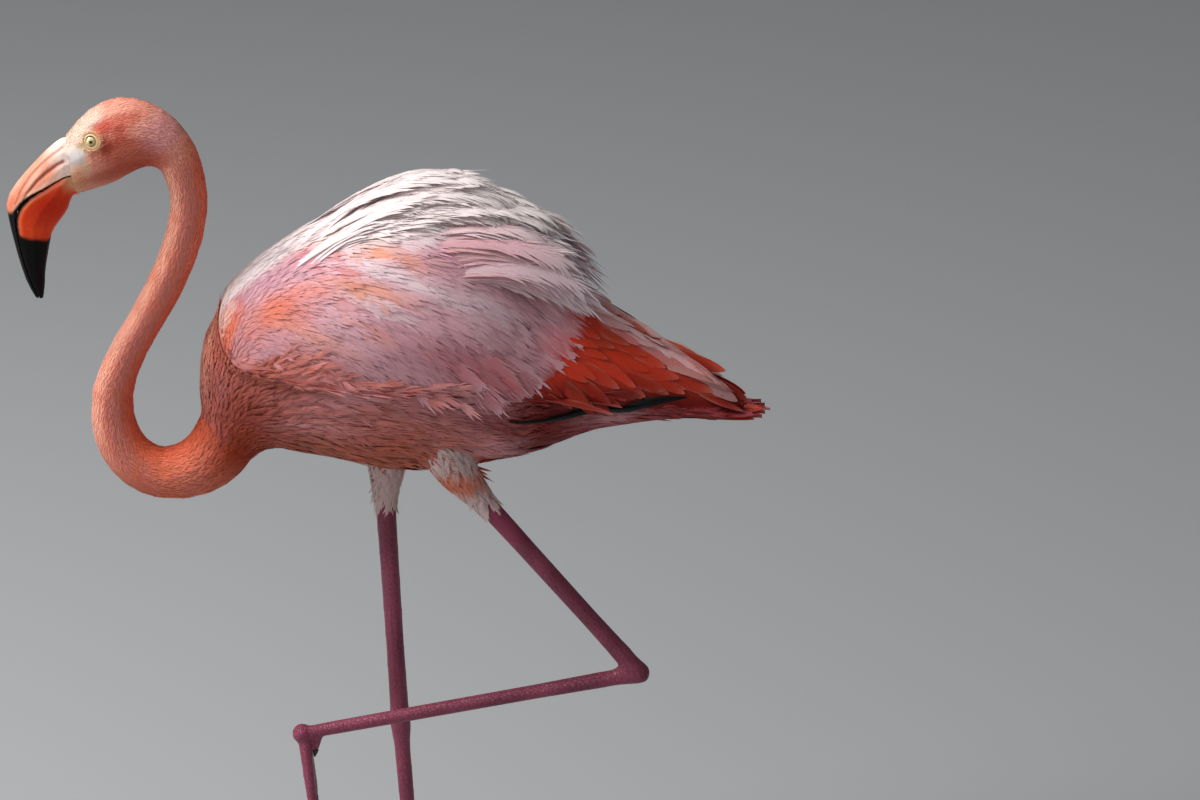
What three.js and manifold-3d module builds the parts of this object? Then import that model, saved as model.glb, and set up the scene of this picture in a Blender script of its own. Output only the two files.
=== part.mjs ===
// A life-size American flamingo (Phoenicopterus ruber), wading: it stands on its right leg and swings the
// left one forward under its belly, with the neck let down in a deep S and the head held level.
//
// Millimetres. +Z is up, -X is where the bird looks, -Y is its left side.
// The origin is on the floor, under the standing foot's middle toe and the bird's centre of mass.

import * as THREE from "three";
import { mergeVertices } from "three/addons/utils/BufferGeometryUtils.js";
import Module from "manifold-3d";

const wasm = await Module();
wasm.setup();

// ---------------------------------------------------------------- driving dimensions

const GAP = 0.3; // between neighbouring pieces
const BENT_GAP = 1.4; // along a limb, where the ends of two pieces are not parallel
const LEFT = -1;
const RIGHT = 1;

const EYE_R = 6.2;
const EYE = { x: -235, y: 17.6, z: 802.5 };

// The body's own line runs from the bill's base over the head, down the neck and back to the rump.
// Each station: x and z of its centre, half depth, half width, and how far its section leans, in degrees.
const HEAD = [
  [-254, 776, 25.5, 14.5, 8],
  [-238, 788.5, 33, 20.5, 4],
  [-219, 797, 35.8, 23, 0],
  [-201, 801, 31, 22, -6],
  [-184.5, 798.5, 24.5, 19.5, -18],
  [-171, 787, 19.3, 17.5, -40],
];
const NECK = [
  [-165.5, 774.5, 17.2, 16.3, -60],
  [-161.5, 757.5, 15.8, 15.4, -82],
  [-161, 738.5, 15.8, 15.2, -94],
  [-167, 710.5, 15.7, 15, -107],
  [-180, 677.5, 15.5, 14.8, -114],
  [-198.5, 643.5, 15, 14.6, -119],
  [-216, 611.5, 15.5, 15, -115],
  [-226, 579.5, 17.4, 16.4, -98],
  [-223, 546.5, 19.4, 18, -70],
  [-210, 525, 20.6, 19.4, -38],
  [-189, 514, 22, 20.6, -8],
  [-163.5, 517.5, 24.3, 22.4, 22],
  [-147, 529, 26.8, 24.2, 38],
];
const TRUNK = [
  [-137, 543, 29.5, 27, 47],
  [-127, 565.5, 43, 36, 46],
  [-113.5, 582, 64, 48, 39],
  [-93, 595.5, 79, 58, 33],
  [-65, 607.5, 93, 66, 25],
  [-29, 620.5, 106, 71, 16],
  [10, 633.5, 116, 72, 10],
  [50, 638, 115, 70, 6],
  [89, 622.5, 95, 62, 3],
  [125.5, 603.5, 66, 47, 1],
  [160, 584.5, 33, 33, 0],
];
// The tail goes on from the rump and flattens into a short fan.
const TAIL = [
  [163, 583.5, 31, 32, 0],
  [196, 576, 15, 30, 0],
  [228, 576, 8, 32, 0],
  [260, 573, 4.5, 33, 0],
  [286, 569, 2, 26, 0],
];

// The bill, from its base round the bend to the tip. The last column is how far down from the ridge the mouth
// runs, as a share of the depth.
const BILL = [
  [-254.6, 775.8, 25, 14.2, 8, 0.6],
  [-261.9, 769, 23.4, 13.4, 20, 0.53],
  [-270.4, 757.5, 23.2, 12.8, 35, 0.42],
  [-279.9, 745.5, 23, 12.3, 46, 0.31],
  [-286.9, 733.5, 21.8, 11.8, 54, 0.25],
  [-287.4, 721, 18.4, 10.6, 60, 0.2],
  [-286.9, 705.5, 14.4, 9, 64, 0.2],
  [-285.9, 691, 10.6, 7.2, 70, 0.24],
  [-283.7, 675.5, 7, 5, 78, 0.34],
  [-281.4, 664.5, 3, 2.6, 84, 0.5],
];
const MOUTH_GAP = 0.7;

// The part of a folded wing that lies on the trunk, from the wrist backwards: x, z and half depth.
const COVERTS = [
  [-142, 652, 8],
  [-131, 655, 32],
  [-108, 661, 44],
  [-72, 668, 56],
  [-28, 674, 68],
  [20, 678, 75],
  [64, 673, 72],
  [112, 655, 56],
];
const WING_THICK = 10;

// The part behind the trunk, out to the tips: x, z, half depth, half thickness, the centre's distance from
// the middle plane, and how far the top leans in, in degrees.
const FLIGHT = [
  [70, 668, 70, 15, 45, 30],
  [104, 654, 64, 15, 39, 28],
  [142, 636, 51, 14, 32, 27],
  [180, 618, 38, 12, 25, 26],
  [220, 600, 26, 9, 18, 24],
  [252, 587, 16, 6, 13, 20],
  [274, 578, 8, 3.5, 10, 15],
];
const WING_CUT = { x: 118, z: 630, lean: 24 }; // where the coverts end and the flight feathers show

// The longest flight feathers pass the wing's own end: root and tip, each x, z and distance from the middle.
const PRIMARIES = [
  { root: [232, 592, 15], tip: [281, 577, 7] },
  { root: [226, 586, 19], tip: [288, 569, 10] },
  { root: [218, 580, 22], tip: [280, 563, 14] },
];

// The long plumes that lie over the back and wings: root, crest and tip, each x, z and distance from the
// middle plane, then the half width and how far it leans with the back's slope, in degrees.
const PLUMES = [
  { root: [-70, 712, 24], crest: [14, 764, 15], tip: [66, 769, 9], wide: 17, lean: 20 },
  { root: [-84, 692, 42], crest: [-22, 738, 36], tip: [44, 752, 30], wide: 18, lean: 40 },
  { root: [-30, 724, 34], crest: [44, 759, 27], tip: [97, 748, 20], wide: 16, lean: 35 },
  { root: [6, 726, 40], crest: [80, 741, 34], tip: [138, 714, 27], wide: 15, lean: 40 },
  { root: [20, 716, 50], crest: [92, 730, 43], tip: [144, 704, 35], wide: 15, lean: 50 },
  { root: [44, 698, 56], crest: [110, 704, 48], tip: [168, 668, 35], wide: 15, lean: 58 },
];
const PLUME_THICK = 3.4;


// Legs. Each has a feathered thigh, then a bare shank and a tarsus, which lean back and inward from straight
// down. The standing leg is placed by the ball of its foot, and the lifted one by the top of its shank.
const SHANK = 194; // from the feather edge to the ankle
const SHANK_R = 8;
const TARSUS = 280; // from the ankle to the ball of the foot
const TARSUS_R = 6.2;
const ANKLE_R = 10.5;
const THIGH_R = [26, 18, 10.5]; // where it leaves the belly, at its middle and at the feather edge
const HIP_SIDE = 30;
const SOLE = 7.5; // from the middle of the foot's ball down to the sole
const STANDING = {
  name: "right",
  thigh: [[-4, HIP_SIDE, 553], [-8, HIP_SIDE - 3, 513]],
  ball: [20, 0, SOLE],
  shank: { lean: 3, inward: 3.4 },
  tarsus: { lean: 4, inward: 2.4 },
  foot: { pitch: 0, splay: 1 },
};
const LIFTED = {
  name: "left",
  thigh: [[34, -HIP_SIDE, 560], [52, -HIP_SIDE - 2, 526]],
  top: [72, -HIP_SIDE - 3, 501],
  shank: { lean: 39.7, inward: 0 },
  tarsus: { lean: -78.9, inward: 0 },
  foot: { pitch: -95, splay: 0.4 },
};

// The foot: three toes joined by a web, with a short hind toe set higher on the tarsus.
const MIDDLE_TOE = 82;
const TOES = [
  { name: "outer", angle: 36, length: MIDDLE_TOE * 0.86 },
  { name: "middle", angle: 0, length: MIDDLE_TOE },
  { name: "inner", angle: -36, length: MIDDLE_TOE * 0.8 },
];
const TOE_R = 5.2;
const KNUCKLE_R = 8.4;
const WEB_THICK = 2.4;
const HIND_TOE = 14;
const CLAW = 9;

// ---------------------------------------------------------------- materials

const finish = (color, roughness) => new THREE.MeshStandardMaterial({ color, roughness, metalness: 0 });
const MATERIALS = {
  salmon: finish(0xe08878, 0.85),
  body: finish(0xeaa79c, 0.85),
  wing: finish(0xefc6c4, 0.8),
  coral: finish(0xd94f35, 0.75),
  bill: finish(0xe0603c, 0.4),
  eye: finish(0xe6d69a, 0.1),
  leg: finish(0x9a4258, 0.55),
  claw: finish(0x2a2226, 0.4),
};

// ---------------------------------------------------------------- solids

const rad = THREE.MathUtils.degToRad;
const point = (place) => new THREE.Vector3(...place);
const shares = (count) => Array.from({ length: count + 1 }, (_, i) => i / count);

// A closed geometry as a solid that can be joined and cut.
function solid(geometry) {
  const bare = geometry.index ? geometry.toNonIndexed() : geometry.clone();
  for (const name of Object.keys(bare.attributes)) if (name !== "position") bare.deleteAttribute(name);
  const merged = mergeVertices(bare, 1e-3);
  return new wasm.Manifold(
    new wasm.Mesh({
      numProp: 3,
      vertProperties: new Float32Array(merged.attributes.position.array),
      triVerts: new Uint32Array(merged.index.array),
    }),
  );
}

function geometryOf(made) {
  const mesh = made.getMesh();
  const g = new THREE.BufferGeometry();
  g.setAttribute("position", new THREE.BufferAttribute(new Float32Array(mesh.vertProperties), 3));
  g.setIndex(new THREE.BufferAttribute(new Uint32Array(mesh.triVerts), 1));
  const faceted = g.toNonIndexed();
  faceted.computeVertexNormals();
  return faceted;
}

const join = (pieces) => pieces.reduce((a, b) => a.add(b));

// The largest of a solid's separate bodies: a cut can leave slivers beside the piece that is wanted.
function largest(made) {
  return made.decompose().reduce((a, b) => (b.volume() > a.volume() ? b : a));
}

// A closed skin over rings of points, all with the same count, going round the same way.
function skinOver(rings) {
  const n = rings[0].length;
  const points = rings.flat();
  const middle = (ring) => ring.reduce((sum, p) => sum.add(p), new THREE.Vector3()).divideScalar(n);
  points.push(middle(rings[0]), middle(rings[rings.length - 1]));
  const faces = [];
  for (let r = 0; r + 1 < rings.length; r++) {
    for (let k = 0; k < n; k++) {
      const a = r * n + k;
      const b = r * n + ((k + 1) % n);
      faces.push([a, b, b + n], [a, b + n, a + n]);
    }
  }
  const last = (rings.length - 1) * n;
  for (let k = 0; k < n; k++) {
    const next = (k + 1) % n;
    faces.push([points.length - 2, next, k], [points.length - 1, last + k, last + next]);
  }
  const g = new THREE.BufferGeometry().setFromPoints(points);
  const made = solid(g.setIndex(faces.flat()));
  if (made.volume() > 0) return made;
  return solid(g.setIndex(faces.map(([a, b, c]) => [a, c, b]).flat()));
}

// A smooth run through stations: place(t) gives the centre, and size(t) three of the station's other numbers.
function run(stations, placeOf, sizeOf) {
  const centres = new THREE.CatmullRomCurve3(stations.map((s) => point(placeOf(s))));
  const sizes = new THREE.CatmullRomCurve3(stations.map((s) => point(sizeOf(s))), false, "catmullrom");
  return { place: (t) => centres.getPoint(t), size: (t) => sizes.getPoint(t) };
}

// One oval ring round a centre. A power under 1 makes it squarer.
function ring(centre, up, across, sides, power = 1) {
  const bend = (v) => Math.sign(v) * Math.abs(v) ** power;
  return Array.from({ length: sides }, (_, k) => {
    const a = (2 * Math.PI * k) / sides;
    return centre.clone().addScaledVector(up, bend(Math.cos(a))).addScaledVector(across, bend(Math.sin(a)));
  });
}

// A piece of the body's line, between the shares from and to of a run of leaning stations.
function bodyPiece(stations, { from = 0, to = 1, rings = 8, sides = 20, grow = 0, power = 1 } = {}) {
  const line = run(stations, ([x, z]) => [x, 0, z], ([, , depth, width, lean]) => [depth, width, lean]);
  return skinOver(
    shares(rings).map((share) => {
      const t = from + (to - from) * share;
      const { x: depth, y: width, z: lean } = line.size(t);
      const up = new THREE.Vector3(-Math.sin(rad(lean)), 0, Math.cos(rad(lean))).multiplyScalar(depth + grow);
      return ring(line.place(t), up, new THREE.Vector3(0, width + grow, 0), sides, power);
    }),
  );
}

// A round limb through points with a radius at each.
function limb(points, radii, { rings = 6, sides = 12 } = {}) {
  const path = new THREE.CatmullRomCurve3(points.map(point));
  const size = new THREE.CatmullRomCurve3(radii.map((r) => new THREE.Vector3(r, 0, 0)), false, "catmullrom");
  return skinOver(
    shares(rings).map((t) => {
      const along = path.getTangent(t);
      const radius = size.getPoint(t).x;
      const up = new THREE.Vector3(0, 1, 0).cross(along).setLength(radius);
      const across = along.clone().cross(up).setLength(radius);
      return ring(path.getPoint(t), up, across, sides);
    }),
  );
}

// A flat feather from its root to its pointed tip. Its flat lies level, or leans outward down a slope.
function feather(places, { wide, thick, lean = 0, side = 1, rings = 6, sides = 8 }) {
  const path = new THREE.CatmullRomCurve3(places.map(([x, z, y]) => new THREE.Vector3(x, side * y, z)));
  return skinOver(
    shares(rings).map((t) => {
      const taper = Math.sqrt(1 - t ** 3);
      const flat = new THREE.Vector3(0, side * Math.cos(rad(lean)), -Math.sin(rad(lean)));
      const up = path.getTangent(t).cross(flat).setLength(Math.max(0.5, thick * taper));
      const across = flat.setLength(Math.max(1, wide * taper * Math.min(1, 0.5 + 2 * t)));
      return ring(path.getPoint(t), up, across, sides);
    }),
  );
}

function ball(place, radius, around = 12) {
  return solid(new THREE.SphereGeometry(radius, around, around / 2 + 1).translate(...place));
}

// ---------------------------------------------------------------- head, neck and trunk

const LINE = [...HEAD, ...NECK, ...TRUNK];
const STEPS = LINE.length - 1;
const CUT = 0.008; // half a cut's width, as a share of the way between two stations

// The lengths that the body's line is cut into: name, first and last station, rings and sides.
const LENGTHS = [
  ["head", 0, 5, 9, 18],
  ["neck_nape", 5, 8, 5, 16],
  ["neck_upper", 8, 11, 4, 16],
  ["neck_middle", 11, 13.5, 4, 16],
  ["neck_bend", 13.5, 16, 6, 16],
  ["neck_base", 16, 19, 5, 18],
  ["trunk", 19, STEPS, 15, 22],
];
const TRUNK_LENGTH = LENGTHS[LENGTHS.length - 1];

function lengthOf([name, first, last, rings, sides], grow = 0) {
  const from = first === 0 ? 0 : (first + CUT) / STEPS;
  const to = last === STEPS ? 1 : (last - CUT) / STEPS;
  return bodyPiece(LINE, { from, to, rings, sides, grow, power: name === "trunk" ? 0.92 : 1 });
}

const eyePlace = (side) => [EYE.x, side * EYE.y, EYE.z];

function makeBodyLine() {
  const made = Object.fromEntries(LENGTHS.map((length) => [length[0], lengthOf(length)]));
  const sockets = [LEFT, RIGHT].map((side) => ball(eyePlace(side), EYE_R + GAP));
  made.head = largest(made.head.subtract(join(sockets)));
  return made;
}

// ---------------------------------------------------------------- tail

const TAIL_FEATHERS = [-24, -12, 0, 12, 24]; // how far from the middle plane each one ends
const TAIL_ROOT = new THREE.Vector2(236, 575);
const TAIL_TIP = new THREE.Vector2(300, 566);

// The rump's end with a short fan of feathers.
function makeTail(grow = 0) {
  const fan = TAIL_FEATHERS.map((y) => {
    const tip = TAIL_TIP.clone().setX(TAIL_TIP.x - 0.25 * Math.abs(y));
    const places = [0, 0.5, 1].map((t) => [...TAIL_ROOT.clone().lerp(tip, t).toArray(), y * (0.7 + 0.3 * t)]);
    return feather(places, { wide: 8 + grow, thick: 2 + grow, rings: 4, sides: 6 });
  });
  return join([bodyPiece(TAIL, { rings: 6, sides: 14, grow }), ...fan]);
}

// ---------------------------------------------------------------- bill

// A band along the mouth, from inside the head to past the tip, as thick as the gap between the jaws.
function mouthCut() {
  const points = BILL.map(([x, z, depth, , lean, share]) => {
    const rise = depth * (1 - 2 * share);
    return new THREE.Vector2(x - rise * Math.sin(rad(lean)), z + rise * Math.cos(rad(lean)));
  });
  const first = points[0].clone().add(new THREE.Vector2(20, 2));
  const last = points[points.length - 1].clone().add(new THREE.Vector2(0.5, -12));
  const curve = new THREE.SplineCurve([first, ...points, last]);
  const edge = (side) =>
    shares(22).map((t) => {
      const along = curve.getTangent(t);
      const aside = new THREE.Vector2(-along.y, along.x).setLength(MOUTH_GAP / 2);
      return curve.getPoint(t).addScaledVector(aside, side);
    });
  const across = 60;
  const band = new THREE.ExtrudeGeometry(new THREE.Shape([...edge(1), ...edge(-1).reverse()]), {
    depth: across,
    bevelEnabled: false,
  });
  return solid(band.rotateX(Math.PI / 2).translate(0, across / 2, 0));
}

function makeBill() {
  const whole = bodyPiece(BILL, { rings: 15, sides: 14, power: 0.95 });
  const jaws = whole.subtract(mouthCut()).decompose().sort((a, b) => b.volume() - a.volume()).slice(0, 2);
  jaws.sort((a, b) => a.boundingBox().min[0] - b.boundingBox().min[0]);
  return { bill_upper: jaws[0], bill_lower: jaws[1] };
}

// ---------------------------------------------------------------- wings and plumes

const BIG = 1200; // larger than the bird, for blocks that cut it

// One side of the middle plane, so that the two wings keep clear of each other.
function sideBlock(side) {
  return solid(new THREE.BoxGeometry(BIG, BIG, BIG).translate(0, (side * (BIG + GAP)) / 2, BIG / 2));
}

// What lies in front of the leaning plane where the coverts end, or behind it.
function cutBlock(way) {
  const block = new THREE.BoxGeometry(BIG, BIG, BIG).translate((way * (BIG + GAP)) / 2, 0, 0);
  return solid(block.rotateY(rad(WING_CUT.lean)).translate(WING_CUT.x, 0, WING_CUT.z));
}

// The wing where it lies on the trunk: a thick layer of the trunk's own shape, inside the wing's side view.
function wingOnTrunk(side, grow) {
  const reach = 62;
  const outline = run(COVERTS, ([x, z]) => [x, side * 50, z], ([, , depth]) => [depth, reach, 0]);
  const lens = skinOver(
    shares(12).map((t) => {
      const up = new THREE.Vector3(0, 0, outline.size(t).x + grow);
      return ring(outline.place(t), up, new THREE.Vector3(0, reach, 0), 18, 0.6);
    }),
  );
  return lengthOf(TRUNK_LENGTH, WING_THICK + grow).intersect(lens);
}

function wingBehind(side, grow) {
  const sizeOf = ([, , depth, thick, , lean]) => [depth, thick, lean];
  const path = run(FLIGHT, ([x, z, , , y]) => [x, side * y, z], sizeOf);
  return skinOver(
    shares(9).map((t) => {
      const { x: depth, y: thick, z: lean } = path.size(t);
      const up = new THREE.Vector3(0, -side * Math.sin(rad(lean)), Math.cos(rad(lean)));
      const across = new THREE.Vector3(0, up.z, -up.y).multiplyScalar(thick + grow);
      return ring(path.place(t), up.multiplyScalar(depth + grow), across, 16, 0.9);
    }),
  );
}

function wholeWing(side, grow = 0) {
  const shape = { wide: 7 + grow, thick: 2.2 + grow, lean: 55, side, rings: 4, sides: 6 };
  const halfway = (a, b) => a.map((v, i) => (v + b[i]) / 2);
  const tips = PRIMARIES.map(({ root, tip }) => feather([root, halfway(root, tip), tip], shape));
  return join([wingOnTrunk(side, grow), wingBehind(side, grow), ...tips]);
}

function makeWing(side, body) {
  const wing = wholeWing(side).subtract(body).intersect(sideBlock(side));
  const plumes = PLUMES.map(({ root, crest, tip, wide, lean }) =>
    feather([root, crest, tip], { wide, thick: PLUME_THICK, lean, side, sides: 6 }),
  );
  return {
    wing: largest(wing.intersect(cutBlock(-1))),
    flight: largest(wing.intersect(cutBlock(1))),
    scapulars: largest(join(plumes).subtract(body).subtract(wholeWing(side, GAP)).intersect(sideBlock(side))),
  };
}

// ---------------------------------------------------------------- legs

// The joints of a leg: the feather edge, the ankle and the ball of the foot, from the bones' lengths.
function jointsOf({ name, top, ball: foot, shank, tarsus }) {
  const inSide = name === "left" ? 1 : -1;
  const bone = ({ lean, inward }, length) => {
    const way = new THREE.Vector3(Math.sin(rad(lean)), inSide * Math.sin(rad(inward)), -Math.cos(rad(lean)));
    return way.setLength(length);
  };
  const [upper, lower] = [bone(shank, SHANK), bone(tarsus, TARSUS)];
  const start = top ? point(top) : point(foot).sub(upper).sub(lower);
  const ankle = start.clone().add(upper);
  return { top: start, ankle, foot: ankle.clone().add(lower) };
}

const toward = (a, b, distance) => a.clone().addScaledVector(b.clone().sub(a).normalize(), distance);

// Where the three pieces round the ankle meet, as distances from its middle.
const ANKLE_UP = 16;
const ANKLE_DOWN = 20;

function bareLeg({ top, ankle, foot }) {
  const shankEnds = [toward(top, ankle, BENT_GAP), toward(ankle, top, ANKLE_UP)];
  const kneeWard = toward(ankle, top, ANKLE_UP - BENT_GAP);
  const footWard = toward(ankle, foot, ANKLE_DOWN - BENT_GAP);
  const tarsusEnds = [toward(ankle, foot, ANKLE_DOWN), toward(foot, ankle, KNUCKLE_R + 0.9)];
  const tube = ([a, b], radii) => {
    const places = [a, a.clone().lerp(b, 0.15), a.clone().lerp(b, 0.85), b];
    return limb(places.map((p) => p.toArray()), radii, { rings: 5, sides: 10 });
  };
  const half = (end, radius) => {
    return limb([end.toArray(), ankle.toArray()], [radius, ANKLE_R - 0.6], { rings: 2, sides: 10 });
  };
  return {
    shank: tube(shankEnds, [SHANK_R + 0.6, SHANK_R, SHANK_R - 0.6, SHANK_R + 0.8]),
    ankle: join([half(kneeWard, SHANK_R + 0.8), ball(ankle.toArray(), ANKLE_R), half(footWard, TARSUS_R + 1.2)]),
    tarsus: tube(tarsusEnds, [TARSUS_R + 1.2, TARSUS_R, TARSUS_R - 0.4, TARSUS_R - 0.6]),
  };
}

// Where the hind toe starts and ends, and the way it points.
function hindToe({ ankle, foot }) {
  const axis = ankle.clone().sub(foot).normalize();
  const back = new THREE.Vector3(axis.z, 0, -axis.x).normalize();
  const root = foot.clone().addScaledVector(axis, 15).addScaledVector(back, 3);
  const way = back.clone().addScaledVector(axis, -0.45).normalize();
  return { root, way, tip: root.clone().addScaledVector(way, HIND_TOE) };
}

// A claw that goes on from the end of a toe and droops a little.
function claw(tip, way, length) {
  const places = [0, 0.55, 1].map((t) => {
    const droop = new THREE.Vector3(0, 0, -1.4 * t * t);
    return tip.clone().addScaledVector(way, GAP + length * t).add(droop).toArray();
  });
  return limb(places, [2.4, 1.9, 0.6], { rings: 3, sides: 6 });
}

// The foot is made flat, with its toes towards -X and its ball at the origin, and is then turned into place.
const toeWay = (angle) => new THREE.Vector3(-Math.cos(rad(angle)), -Math.sin(rad(angle)), 0);
const toeTip = ({ angle, length }, splay) => toeWay(angle * splay).setLength(length).setZ(TOE_R * 0.6 - SOLE);

function toe(one, splay) {
  const root = new THREE.Vector3(0, 0, -SOLE + TOE_R * 0.95);
  const tip = toeTip(one, splay);
  const places = [0, 0.3, 0.62, 1].map((t) => root.clone().lerp(tip, t).toArray());
  return limb(places, [TOE_R + 0.8, TOE_R, TOE_R * 0.86, TOE_R * 0.55], { rings: 5, sides: 8 });
}

// The web between the toes, scooped between their tips.
function web(splay) {
  const outline = [new THREE.Vector2(4, 0)];
  const mark = (angle, length) => {
    const way = toeWay(angle * splay);
    outline.push(new THREE.Vector2(way.x * length, way.y * length));
  };
  TOES.forEach((one, i) => {
    mark(one.angle, one.length * 0.86);
    const next = TOES[i + 1];
    if (next) mark((one.angle + next.angle) / 2, Math.min(one.length, next.length) * 0.66);
  });
  const flat = { depth: WEB_THICK, bevelEnabled: false };
  const plate = new THREE.ExtrudeGeometry(new THREE.Shape(outline), flat);
  return solid(plate.translate(0, 0, 0.6 - SOLE));
}

// A foot with a flat sole, and its claws.
function makeFoot(splay) {
  const below = new THREE.BoxGeometry(BIG, BIG, BIG).translate(0, 0, -SOLE - BIG / 2);
  const toes = TOES.map((one) => toe(one, splay));
  const whole = join([...toes, web(splay), ball([0, 0, KNUCKLE_R - SOLE - 1.9], KNUCKLE_R, 10)]);
  const clawOf = (one) => claw(toeTip(one, splay), toeWay(one.angle * splay), CLAW);
  const claws = TOES.map((one) => ["claw_" + one.name, clawOf(one)]);
  return [["foot", whole.subtract(solid(below))], ...claws];
}

function makeLeg(leg, body) {
  const joints = jointsOf(leg);
  const { pitch, splay } = leg.foot;
  const thigh = limb([...leg.thigh, joints.top.toArray()], THIGH_R, { rings: 5, sides: 12 });
  const made = { thigh: largest(thigh.subtract(body)), ...bareLeg(joints) };
  for (const [name, piece] of makeFoot(splay)) {
    made[name] = piece.rotate([0, pitch, 0]).translate(joints.foot.toArray());
  }
  const { root, tip, way } = hindToe(joints);
  const hind = limb([root.toArray(), tip.toArray()], [3.4, 2.4], { rings: 2, sides: 8 });
  made.tarsus = made.tarsus.add(hind);
  made.claw_hind = claw(tip, way, CLAW * 0.6);
  return made;
}

// ---------------------------------------------------------------- the bird

const flamingo = new THREE.Group();
flamingo.name = "flamingo";

function add(name, made, material) {
  const mesh = new THREE.Mesh(geometryOf(made), material);
  mesh.name = name;
  flamingo.add(mesh);
}

function addAll(pieces, ending, materialOf) {
  for (const [name, made] of Object.entries(pieces)) add(name + ending, made, materialOf(name));
}

addAll(makeBodyLine(), "", (name) => (name === "trunk" ? MATERIALS.body : MATERIALS.salmon));
addAll(makeBill(), "", () => MATERIALS.bill);
add("tail", makeTail(), MATERIALS.coral);

// The room that wings and thighs leave to the body.
const body = lengthOf(TRUNK_LENGTH, GAP).add(makeTail(GAP));
for (const [side, word] of [
  [LEFT, "left"],
  [RIGHT, "right"],
]) {
  add("eye_" + word, ball(eyePlace(side), EYE_R), MATERIALS.eye);
  addAll(makeWing(side, body), "_" + word, (name) => (name === "flight" ? MATERIALS.coral : MATERIALS.wing));
}

const legMaterial = (name) => {
  if (name === "thigh") return MATERIALS.body;
  return name.startsWith("claw") ? MATERIALS.claw : MATERIALS.leg;
};
for (const leg of [STANDING, LIFTED]) addAll(makeLeg(leg, body), "_" + leg.name, legMaterial);

export default flamingo;
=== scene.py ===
import math

import bmesh
import bpy
import numpy as np
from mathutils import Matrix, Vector
from mathutils.bvhtree import BVHTree


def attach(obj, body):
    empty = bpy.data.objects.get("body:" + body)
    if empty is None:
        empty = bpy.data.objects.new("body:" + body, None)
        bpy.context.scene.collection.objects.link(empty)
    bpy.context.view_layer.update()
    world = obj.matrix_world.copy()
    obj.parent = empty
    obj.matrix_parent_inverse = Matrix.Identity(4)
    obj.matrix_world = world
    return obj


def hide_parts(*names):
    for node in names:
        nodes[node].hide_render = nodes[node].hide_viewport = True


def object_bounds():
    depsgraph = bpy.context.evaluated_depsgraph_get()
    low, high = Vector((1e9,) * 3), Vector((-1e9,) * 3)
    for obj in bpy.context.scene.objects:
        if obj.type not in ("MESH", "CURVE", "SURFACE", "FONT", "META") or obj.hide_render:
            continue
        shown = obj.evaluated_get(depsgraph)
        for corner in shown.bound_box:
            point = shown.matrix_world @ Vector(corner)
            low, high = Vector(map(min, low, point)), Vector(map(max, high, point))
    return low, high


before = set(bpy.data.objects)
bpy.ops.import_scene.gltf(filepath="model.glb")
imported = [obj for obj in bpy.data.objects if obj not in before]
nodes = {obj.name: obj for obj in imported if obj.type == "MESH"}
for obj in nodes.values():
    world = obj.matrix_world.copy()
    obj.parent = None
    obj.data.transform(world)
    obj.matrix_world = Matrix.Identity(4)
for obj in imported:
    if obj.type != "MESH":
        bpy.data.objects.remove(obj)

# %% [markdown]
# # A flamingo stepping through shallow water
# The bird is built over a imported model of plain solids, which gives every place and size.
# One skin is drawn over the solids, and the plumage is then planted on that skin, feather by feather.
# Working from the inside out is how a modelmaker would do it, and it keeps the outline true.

cad_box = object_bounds()
MM = 0.001
print("solids:", len(nodes), "box", [round(x, 4) for corner in cad_box for x in corner])

# %% [markdown]
# ## Colours and nodes
# Colours are written as a painter reads them, in sRGB hex, and turned to linear light once.
# One small function adds a shader node with its settings and what feeds it, which keeps each material short.


# %% Colour and node helpers
def tone(code):
    """An sRGB hex colour as linear red, green and blue."""
    parts = [int(code[i : i + 2], 16) / 255 for i in (1, 3, 5)]
    return np.array([c / 12.92 if c <= 0.04045 else ((c + 0.055) / 1.055) ** 2.4 for c in parts])


def rgba(code):
    return (*tone(code), 1.0)


def add_node(tree, kind, inputs=None, **settings):
    """Adds one node. Each input gets a plain value, a socket, or a node, whose first output then feeds it."""
    made = tree.nodes.new("ShaderNode" + kind)
    for name, value in settings.items():
        setattr(made, name, value)
    for key, value in (inputs or {}).items():
        if isinstance(value, bpy.types.Node):
            value = value.outputs[0]
        if isinstance(value, bpy.types.NodeSocket):
            tree.links.new(value, made.inputs[key])
        else:
            made.inputs[key].default_value = value
    return made


def add_bump(tree, height, strength, distance):
    return add_node(tree, "Bump", {"Strength": strength, "Distance": distance, "Height": height})


def add_tint(tree, share):
    """The painted tint, made lighter or darker by a share."""
    tint = add_node(tree, "Attribute", attribute_name="tint")
    return add_node(tree, "VectorMath", {0: tint, "Scale": share}, operation="SCALE")


def add_surface(tree, **inputs):
    """The surface shader with its inputs, spaces in their names as underscores, and the material's output."""
    surface = add_node(tree, "BsdfPrincipled", {key.replace("_", " "): value for key, value in inputs.items()})
    add_node(tree, "OutputMaterial", {"Surface": surface})


def new_material(name):
    made = bpy.data.materials.new(name)
    made.use_nodes = True
    made.node_tree.nodes.clear()
    return made, made.node_tree


# %% [markdown]
# ## Camera
# The view is from the bird's left, a little above it, from a few metres off with a long lens.
# A long lens flattens the shape, as a wildlife portrait does.

# %% Camera
AIM = Vector((0.164, 0.0, 0.5765))
DISTANCE = 5.0
LOOKS_DOWN = math.radians(22)
camera = bpy.data.objects.new("camera", bpy.data.cameras.new("camera"))
camera.data.lens = 187.5
camera.data.sensor_width = 36
camera.data.clip_end = 60
camera.location = AIM + Vector((0, -math.cos(LOOKS_DOWN), math.sin(LOOKS_DOWN))) * DISTANCE
camera.rotation_euler = (math.pi / 2 - LOOKS_DOWN, 0, 0)
bpy.context.scene.collection.objects.link(camera)
bpy.context.scene.camera = camera
print("camera", [round(c, 3) for c in camera.location], "lens", camera.data.lens, "mm")

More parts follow.
